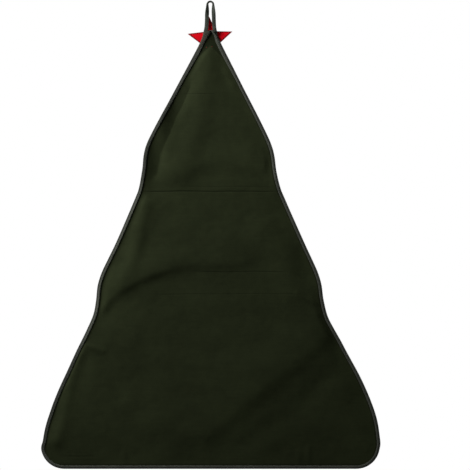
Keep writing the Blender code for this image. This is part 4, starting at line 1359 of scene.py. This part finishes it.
# Each figure's own colour, then its details by colour, the later ones on top.
FIGURES = {
    "01_candle": ("cream", {
        "green": both(leaf(1, -20, 15, -17, 9), leaf(0, -22, 11, -28, 7)),
        "red": [
            bar(1.7, (-6, -9), (6, -5)), bar(1.7, (-6, -2), (6, 2)),
            dot(0, -18, 2.4), *both(dot(3.4, -22, 2.2)),
        ],
        "gold": [leaf(0, 11, 0, 30, 8)],
        "orange": [leaf(0, 12.5, 0, 23, 3.6)],
    }),
    "02_bird": ("white", {
        "rose": [dot(-11, -8, 7.5)],
        "brown": [leaf(-5, 0, 15, 20, 14), bar(2.2, (14, 2), (28, 2.5)), bar(2.2, (13, -3), (26, -5.5))],
        "gold": [leaf(-29, 4.5, -21, 8, 4.5)],
        "dark": [dot(-17.5, 10, 1.4)],
    }),
    "03_bell": ("gold", {
        "brown": [band(1.3, 21, -15), dot(0, -23, 3)],
        "cream": [band(1.3, 13, 4)],
        "red": [band(3, 15, -5), *both(leaf(0, 19.5, 11, 24, 7)), dot(0, 19.5, 2.6)],
    }),
    "04_holly": ("ginger", {
        "gold": [
            bar(0.9, (0, 3), (0, 21)),
            *both(bar(0.9, (5, -4), (25, -7)), bar(0.9, (9, -5), (15, 5)), bar(0.9, (12, -6), (15, -15))),
        ],
        "red": [dot(0, 0, 3.6), *both(dot(4.4, -6, 3.6))],
    }),
    "05_egg_ornament": ("cream", {
        "gold": [block(3.8, 25, 32), *(dot(x, 4, 1.7) for x in (-13, -6.5, 0, 6.5, 13))],
        "red": [band(2.2, 16, 11), band(2.2, 18, -3), *(dot(x, -17, 1.9) for x in (-9, 0, 9))],
        "sage": [
            bar(1.4, (-19, -10), (-13, -7.5), (-6.5, -12), (0, -7.5), (6.5, -12), (13, -7.5), (19, -10)),
        ],
    }),
    "06_gnome": ("red", {
        "white": [BEARD],
        "green": [band(3.6, 14, -3.5), *both(dot(13, -21, 2.6))],
        "rose": [dot(0, -7, 3.2)],
    }),
    "07_silver_tree": ("silver", {
        "brown": [bar(6.4, (0, -22), (0, -29.5))],
        "white": [
            bar(1.5, (-7, 8), (0, 7), (8, 11)),
            bar(1.5, (-12, -7), (0, -8), (13, -3)),
            bar(1.5, (-16, -19), (0, -19), (17, -17)),
        ],
        "red": dots(1.9, (0, 18), (-5, 1), (9, -12), (-10, -14)),
        "gold": [dot(0, 26, 2.2), *dots(1.9, (4, 2), (-1, -13))],
    }),
    "08_gingerbread": ("ginger", {
        "white": both(
            bar(1.3, (18, 0), (18, 11)), bar(1.3, (8, -26), (16, -23)),
            dot(3.6, 24, 1.1), bar(1.0, (0, 19), (3.6, 20.5)),
        ),
        "red": dots(1.8, (0, 6), (0, -1), (0, -8)),
        "rose": both(dot(6.6, 20.6, 1.4)),
    }),
    "09_rocking_horse": ("brown", {
        "cream": [leaf(-13, 23, -9, 6, 6), leaf(12, 4, 23, 8, 8)],
        "gold": [
            bar(2.6, (-28, -15.5), (-20, -22), (-9, -24.8), (9, -24.8), (20, -22), (28, -15.5)),
            bar(1.2, (-25, 11), (-15, 16)),
        ],
        "red": [patch((-5, 7), (7, 6), (6, -3), (1, -5), (-4, -3))],
        "dark": [dot(-18, 18, 1.2)],
    }),
    "10_mittens": ("red", {
        "white": both(
            bar(7, (4, 21.8), (18.2, 21.8)),
            *(bar(1.1, (12 - x, -4 - z), (12 + x, -4 + z)) for x, z in ((5.5, 0), (2.8, 4.8), (2.8, -4.8))),
        ),
        "sage": both(bar(1.4, (4.4, 15), (18.4, 15))),
    }),
    "11_gold_star": ("gold", {"cream": spokes(5, 2.5, 17, 3.4, -2.5)}),
    "12_wreath": ("rose", {
        "sage": spokes(12, 12, 24, 5.5),
        "red": [
            dot(17.7 * math.sin(turn), 17.7 * math.cos(turn), 2.1)
            for turn in map(math.radians, (15, 75, 135, 225, 285, 345))
        ],
        "cream": [*both(leaf(0, -19, 10, -23, 7), leaf(0, -19, 9, -14, 5)), dot(0, -18.5, 2.4)],
    }),
    "13_fox": ("orange", {
        "white": both(patch((22, -4.5), (12, -1), (4, -9), (1.5, -18), (3, -21.5), (12, -15.5))),
        "cream": both(leaf(12, 7, 16.5, 20, 5.5)),
        "dark": [*both(dot(8, 3, 1.6)), dot(0, -18.5, 3)],
    }),
    "14_mistletoe": ("sage", {
        "green": [
            bar(2.2, (0, 29), (0, 12)),
            *both(bar(1, (3, 8), (12, 12), (21, 7)), bar(1, (4, 0), (10, -12), (10, -24))),
        ],
        "white": [dot(0, 7, 3.6), *both(dot(5.2, 2, 3.4)), dot(0, -4, 3.4)],
    }),
    "15_reindeer": ("brown", {
        "cream": both(
            bar(2.2, (6, 11), (8.5, 27)), bar(1.9, (8, 19), (17, 26)), bar(1.9, (7, 14), (23, 19)),
        ),
        "ginger": [*both(leaf(10, 2.5, 18, 4, 4)), dot(0, -17, 7.6)],
        "dark": [*both(dot(5.2, -2, 1.6)), dot(0, -17, 4.4)],
    }),
    "16_red_bauble": ("red", {
        "gold": [
            block(4.2, 16, 24.4), *(dot(x, z, 1.5) for z in (-13, 5) for x in (-9, 0, 9)),
        ],
        "white": [band(1.6, 19, -1), band(1.6, 19.5, -6)],
    }),
    "17_tall_gnome": ("red", {
        "white": [BEARD, *both(dot(3, 15, 1.1)), *dots(1.1, (0, 7), (0, 22))],
        "sage": [band(3.6, 13, -3.5)],
        "rose": [dot(0, -7, 3.2)],
    }),
    "18_gift": ("green", {
        "white": [band(1.2, 20, 1.8), *both(dot(13, -7, 1.2), dot(8, -16, 1.2))],
        "red": [bar(5, (0, -22.5), (0, 11)), *both(leaf(0, 13, 11, 20.5, 8)), dot(0, 13.5, 3)],
    }),
    "19_pine_sprig": ("sage", {
        "white": [
            bar(1.5, (0, -24), (0, 25)),
            *both(bar(1.2, (0, 10), (12, 13)), bar(1.2, (0, -3), (19, 0)), bar(1.2, (0, -12), (20, -12))),
        ],
        "green": both(
            bar(1.2, (0, 17), (6, 20)), bar(1.2, (0, 3), (13, 6)), bar(1.2, (0, -8), (14, -6.5)),
        ),
        "red": [dot(0, -18, 2.3), *both(dot(4.2, -21, 2.1))],
    }),
    "20_drop_ornament": ("red", {
        "gold": [
            block(3, 21, 28.4), dot(0, -24.5, 1.7), *(dot(x, 1, 1.5) for x in (-12, -6, 0, 6, 12)),
        ],
        "white": [band(1.6, 15, 7), band(1.6, 18.4, -5)],
    }),
    "21_snowman": ("white", {
        "dark": [
            block(6, 24, 31.5), band(3.4, 11.6, 21.6), *both(dot(3.6, 15.5, 1.2)),
            *dots(1.5, (0, -6), (0, -14), (0, -22)),
        ],
        "red": [band(2, 6, 25), bar(4.2, (-9, 4), (0, 2.6), (9, 4)), bar(4, (5, 2), (7.5, -8))],
        "orange": [leaf(-1, 13, 8, 11.6, 2.8)],
    }),
    "22_orange_slice": ("orange", {
        "cream": [dot(0, 0, 17)],
        "orange": spokes(8, 1.6, 15.8, 10.0),
    }),
    "23_stocking": ("red", {
        "white": [
            bar(11.6, (-13.2, 22.8), (9, 22.8)),
            bar(1.8, (-11.6, 6), (6.8, 6)), bar(1.8, (-12, -1), (6.8, -1)),
        ],
        "green": [
            patch((11, -12), (19.5, -13), (23, -20), (20, -28), (11, -28)),
            patch((-12.8, -14), (-5, -17), (-4, -28.4), (-12.8, -21)),
        ],
    }),
    "24_green_tree": ("green", {
        "brown": [bar(6.6, (0, -25.5), (0, -32.4))],
        "white": [
            bar(1.8, (-6, 14), (0, 14), (6, 17)), bar(1.8, (-10, 1), (0, 1), (10, 5)),
            bar(1.8, (-15, -14), (0, -13), (15, -9)), bar(1.8, (-20, -23), (0, -22), (20, -21)),
        ],
        "red": dots(1.8, (-2, 8), (5, -6), (-7, -6), (9, -17), (-5, -18)),
        "gold": [dot(0, 28, 2.6)],
    }),
}


def plateau_y(row, z):
    """The depth of a pocket's flat front at a height."""
    rise = z - row_boxes[row][0].z - PLATEAU_FOOT
    return STRIP_FACE_Y - POCKET_FOOT_DEPTH - PLATEAU_SLOPE * rise


def settled(row, spot):
    """A point in front of a pocket's flat front, moved to follow the cloth's real one."""
    return spot + Vector((0, pocket_face(row, spot.x, spot.z) - plateau_y(row, spot.z), 0))


def add_detail(shape, outline, level, seat, row):
    """Add one detail to a bmesh: a thin plate with a soft rim, laid on its figure."""
    plate = bmesh.new()
    bmesh.ops.create_circle(plate, cap_ends=True, segments=len(outline), radius=1.0)
    for corner, point in zip(plate.verts[:], outline):
        corner.co = (point.x * MILLIMETRE, DETAIL_SUNK - level, point.y * MILLIMETRE)
    grown = bmesh.ops.extrude_face_region(plate, geom=plate.faces[:])["geom"]
    cap = next(part for part in grown if isinstance(part, bmesh.types.BMFace))
    bmesh.ops.translate(plate, verts=cap.verts[:], vec=(0, -DETAIL_SUNK - DETAIL_THICKNESS, 0))
    soften(plate, cap.edges[:], DETAIL_RIM, 2)
    for corner in plate.verts:
        corner.co = settled(row, seat + FIGURE_TILT @ corner.co)
    bmesh.ops.recalc_face_normals(plate, faces=plate.faces[:])
    add_part(shape, plate)


def drawn_in(outline, distance):
    """A closed line on a figure moved in from its edge, its short steps left out."""
    kept = []
    for point in outline:
        if not kept or (point - kept[-1]).length > distance * 1.4:
            kept.append(point)
    moved = []
    for index, point in enumerate(kept):
        before = (point - kept[index - 1]).normalized()
        after = (kept[(index + 1) % len(kept)] - point).normalized()
        inward = FRONTWARD.cross(before + after).normalized()
        lean = max(inward.dot(FRONTWARD.cross(before)), 0.45)
        moved.append(point + inward * (distance / lean))
    return moved + moved[:1]


def front_faces(plate, squarely):
    """A plate's faces that look to the front, at least as squarely as given."""
    plate.normal_update()
    return [face for face in plate.faces if face.normal.y < -squarely]


FIGURE_TILT = Matrix.Rotation(math.atan(PLATEAU_SLOPE), 3, "X")
felts = {name: felt(f"felt_{name}", colour, FIGURE_SHEEN) for name, colour in FELT_COLOURS.items()}
threads = {
    name: thread(f"thread_{name}", tuple(part * FIGURE_THREAD_SHADE for part in colour))
    for name, colour in FELT_COLOURS.items() if name != "dark"
}
for (row, pocket), (figure, (own_colour, details)) in zip(pockets, FIGURES.items()):
    node = f"figure_{figure}"
    plate = bmesh.new()
    plate.from_mesh(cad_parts[node].data)
    bmesh.ops.remove_doubles(plate, verts=plate.verts[:], dist=TINY)
    if figure != RING_FIGURE:
        corners, edges = plate.verts[:], plate.edges[:]
        bmesh.ops.dissolve_limit(plate, angle_limit=STRAIGHT_ANGLE, verts=corners, edges=edges)
    front = front_faces(plate, FRONT_FACING)
    felt_area = sum(face.calc_area() for face in front)
    rim = [edge for edge in plate.edges if sum(face in front for face in edge.link_faces) == 1]
    outline = [corner.co.copy() for corner in front[0].verts]
    soften(plate, rim, FIGURE_RIM, 2)
    inner_rim = {corner.index: corner for face in front_faces(plate, FLAT_FACING) for corner in face.verts}
    bmesh.ops.remove_doubles(plate, verts=list(inner_rim.values()), dist=FIGURE_RIM_WELD)
    bmesh.ops.inset_region(plate, faces=front_faces(plate, FLAT_FACING), thickness=FIGURE_SHADE_INSET)
    for corner in plate.verts:
        corner.co = settled(row, corner.co)
    low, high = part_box(node)
    piece = add_piece(f"{node}_felt", plate, felts[own_colour], "calendar", [node])
    f"pocket_strip_{row + 1}"

    if figure != RING_FIGURE:
        basting = bmesh.new()
        path = [settled(row, point) for point in drawn_in(outline, FIGURE_SEAM_INSET)]
        sew(basting, path, FRONTWARD, FIGURE_STITCHES)
        add_piece(f"{node}_stitches", basting, threads[own_colour], "calendar")

    middle_x = pocket_middle(row, pocket) + FIGURE_SIDESTEP
    middle_z = row_boxes[row][0].z + FIGURE_CENTRE_RISE
    seat = Vector((middle_x, plateau_y(row, middle_z), middle_z))
    for order, (colour, outlines) in enumerate(details.items()):
        shape = bmesh.new()
        for outline in outlines:
            add_detail(shape, outline, SEWN_GAP + FIGURE_FELT + order * DETAIL_STEP, seat, row)
        finish = "brown" if colour == "dark" else colour
        add_piece(f"{node}_{colour}", shape, felts[colour], "calendar")


# The rod casing: a strip of the canvas, sewn to the front along both its long edges and
# open at its ends. It wraps the rod, and its seams draw it into small puckers.
ROD_LOW, ROD_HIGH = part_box("bottom_rod")
CASING_LOW, CASING_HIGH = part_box("rod_casing")
ROD_RADIUS = (ROD_HIGH.z - ROD_LOW.z) / 2
ROD_MIDDLE = (ROD_LOW + ROD_HIGH) / 2
CASING_SEAM = 0.0045
CASING_TURN_DEGREES = (262.0, 130.0)
CASING_ARC_STEPS = 12
CASING_SLANT_STEPS = 8
CASING_COLUMNS = 200
# Its puckers: height, turns a metre along it, the share of those up it, the slice of noise
# that they are, their least share where the rod holds it tight, and how far from its lower
# and upper seams they are full.
PUCKER_HEIGHT = 0.0018
PUCKER_SCALE = 85.0
PUCKER_STRETCH = 0.4
PUCKER_SLICE = 5.1
PUCKER_LEAST = 0.35
PUCKER_STARTS = (0.006, 0.005)


def casing_line():
    """The casing's outer face from its lower edge to its upper one, as depths and heights."""
    reach = ROD_RADIUS + SEWN_GAP + POCKET_CANVAS
    foot, top, seam = (
        Vector((STRIP_FACE_Y, z)) for z in (CASING_LOW.z, CASING_HIGH.z, CASING_HIGH.z - CASING_SEAM)
    )
    round_rod = arc(ROD_MIDDLE.yz, reach, *CASING_TURN_DEGREES, CASING_ARC_STEPS)
    steps = range(1, CASING_SLANT_STEPS + 1)
    slant = [round_rod[-1].lerp(seam, step / CASING_SLANT_STEPS) for step in steps]
    foot_seam = Vector((STRIP_FACE_Y, CASING_LOW.z + CASING_SEAM / 2))
    return [foot, foot_seam] + round_rod + slant + [seam.lerp(top, 0.5), top]


casing_points = casing_line()
casing_length = CASING_HIGH.x - CASING_LOW.x


def casing_place(column, row):
    """A point of the casing's outer face, along it and up it."""
    x = CASING_LOW.x + casing_length * column / CASING_COLUMNS
    depth, z = casing_points[row]
    free = ease((z - CASING_LOW.z - CASING_SEAM) / PUCKER_STARTS[0])
    free *= ease((CASING_HIGH.z - CASING_SEAM - z) / PUCKER_STARTS[1])
    loose = PUCKER_LEAST + (1 - PUCKER_LEAST) * ease((z - ROD_MIDDLE.z) / ROD_RADIUS)
    pucker = 0.5 + noise.noise(Vector((x * PUCKER_SCALE, z * PUCKER_SCALE * PUCKER_STRETCH, PUCKER_SLICE)))
    return Vector((x, depth - PUCKER_HEIGHT * free * loose * max(pucker, 0.0), z))


casing_flat = (casing_length, reaches_of(casing_points)[-1])
casing = cloth_grid(CASING_COLUMNS, len(casing_points) - 1, casing_place, casing_flat)
bmesh.ops.solidify(casing, geom=casing.faces[:], thickness=POCKET_CANVAS)
casing_piece = add_piece("casing_strip", casing, pocket_green, "calendar", ["rod_casing"])

casing_seams = bmesh.new()
for z in (CASING_LOW.z + CASING_SEAM * 0.3, CASING_HIGH.z - CASING_SEAM / 2):
    seam_line = [Vector((x, STRIP_FACE_Y, z)) for x in (CASING_LOW.x, CASING_HIGH.x)]
    sew(casing_seams, seam_line, FRONTWARD)
add_piece("casing_stitches", casing_seams, thread_green, "calendar")


# The rod: turned beech, sanded and left plain, with its ends eased. It lies loose in the
# casing, so that it can be drawn out at either side.
ROD_SIDES = 28
ROD_END_BEVEL = 0.0006
BEECH_DARK = (0.50, 0.33, 0.18, 1.0)
BEECH_PALE = (0.74, 0.56, 0.37, 1.0)
# The turns of the grain and of its flecks to a metre, along the rod and across it.
BEECH_GRAIN = (9.0, 240.0, 240.0)
BEECH_FLECKS = (120.0, 900.0, 900.0)
PLAIN_SPECULAR = 0.5

beech, beech_place, beech_shader = new_material("beech", specular=PLAIN_SPECULAR)
grain = beech_place.scaled(BEECH_GRAIN).noise(1.0, 4.0, 0.6, 0.4)
flecks = beech_place.scaled(BEECH_FLECKS).noise(1.0, 2.0, 0.5)
(grain * 0.8 + flecks * 0.25).mixed(BEECH_DARK, BEECH_PALE).feed(beech_shader, "Base Color")
(0.50 + grain * 0.18).feed(beech_shader, "Roughness")
(grain + flecks * 0.5).emboss(beech_shader, 0.3, 0.0001)

rod = bmesh.new()
bmesh.ops.create_circle(rod, cap_ends=True, segments=ROD_SIDES, radius=ROD_RADIUS)
for corner in rod.verts:
    corner.co = (ROD_LOW.x, ROD_MIDDLE.y + corner.co.x, ROD_MIDDLE.z + corner.co.y)
grown = bmesh.ops.extrude_face_region(rod, geom=rod.faces[:])["geom"]
far_end = [part for part in grown if isinstance(part, bmesh.types.BMVert)]
bmesh.ops.translate(rod, verts=far_end, vec=(ROD_HIGH.x - ROD_LOW.x, 0, 0))
ends = [face for face in rod.faces if len(face.verts) > 4]
soften(rod, [edge for face in ends for edge in face.edges], ROD_END_BEVEL, 3)
bmesh.ops.recalc_face_normals(rod, faces=rod.faces[:])
add_piece("rod_wood", rod, beech, "rod", ["bottom_rod"])


# The studio: a white sweep with a pale floor below the hanging tree, a large soft lamp
# high on each side of it, and the camera where the photograph was taken, facing its back.
CAMERA_DISTANCE = 3.6
FRAME_HEIGHT = 1.0049
AIM = Vector((-0.0527, 0.0, -0.498))
SENSOR_WIDTH = 36.0
FLOOR_Z = -1.22
FLOOR_SIZE = 14.0
# How far out from its middle the floor starts to fade into the white round it, and is gone.
FLOOR_FADE = (0.9, 1.7)
FLOOR_WHITE = 0.82
FLOOR_ROUGHNESS = 0.9
SKY_STRENGTH = 0.16
LAMP_SIZE = 0.7
# Each lamp's place, the place that it faces, and its power in watts.
LAMPS = (
    ("back_lamp", (1.00, 0.48, 0.36), (-0.02, 0.0, -0.46), 54.0),
    ("front_lamp", (-1.25, -0.75, 0.30), (0.0, 0.0, -0.50), 58.0),
)

camera_data = bpy.data.cameras.new("camera")
camera_data.sensor_width = SENSOR_WIDTH
camera_data.lens = SENSOR_WIDTH * CAMERA_DISTANCE / FRAME_HEIGHT
camera = bpy.data.objects.new("camera", camera_data)
camera.location = AIM + Vector((0, CAMERA_DISTANCE, 0))
camera.rotation_euler = (math.pi / 2, 0, math.pi)
bpy.context.scene.collection.objects.link(camera)
bpy.context.scene.camera = camera

for lamp_name, lamp_place, lamp_aim, lamp_power in LAMPS:
    lamp_data = bpy.data.lights.new(lamp_name, "AREA")
    lamp_data.size = LAMP_SIZE
    lamp_data.energy = lamp_power
    lamp = bpy.data.objects.new(lamp_name, lamp_data)
    lamp.location = lamp_place
    lamp.rotation_euler = (Vector(lamp_aim) - Vector(lamp_place)).to_track_quat("-Z", "Y").to_euler()
    bpy.context.scene.collection.objects.link(lamp)

sky = bpy.data.worlds.new("studio")
sky.use_nodes = True
bpy.context.scene.world = sky
background = sky.node_tree.nodes["Background"]
background.inputs["Color"].default_value = (1.0, 1.0, 1.0, 1.0)


def white_level(tree):
    """How bright the white surroundings are: full where they show, less where they only light."""
    rays = Wire(tree).node("ShaderNodeLightPath", output="Is Camera Ray")
    shown = rays.maths("MAXIMUM", rays, rays.also("Is Glossy Ray"))
    shown = shown.maths("MAXIMUM", shown, rays.also("Is Transmission Ray"))
    return SKY_STRENGTH + shown * (1.0 - SKY_STRENGTH)


white_level(sky.node_tree).feed(background, "Strength")

floor_shape = bmesh.new()
bmesh.ops.create_grid(floor_shape, x_segments=1, y_segments=1, size=FLOOR_SIZE / 2)
bmesh.ops.translate(floor_shape, verts=floor_shape.verts[:], vec=(0, 0, FLOOR_Z))
floor_paper, floor_place, floor_shader = new_material("floor_paper", specular=PLAIN_SPECULAR)
floor_tree = floor_paper.node_tree
floor_shader.inputs["Roughness"].default_value = FLOOR_ROUGHNESS
(white_level(floor_tree) * FLOOR_WHITE).feed(floor_shader, "Base Color")
level_place = floor_place.scaled((1.0, 1.0, 0.0))
from_middle = level_place.node("ShaderNodeVectorMath", {"operation": "LENGTH"}, {0: level_place}, "Value")
lit = Wire(floor_tree, floor_shader.outputs[0])
glow = from_middle.node("ShaderNodeEmission", {}, {"Color": white_level(floor_tree), "Strength": 1.0})
faded = from_middle.ranged(*FLOOR_FADE)
paper = from_middle.node("ShaderNodeMixShader", {}, {0: faded, 1: lit, 2: glow})
paper.feed(floor_tree.nodes["Material Output"], "Surface")
floor = add_piece("floor", floor_shape, floor_paper, None)

bpy.context.scene.view_settings.view_transform = "Standard"
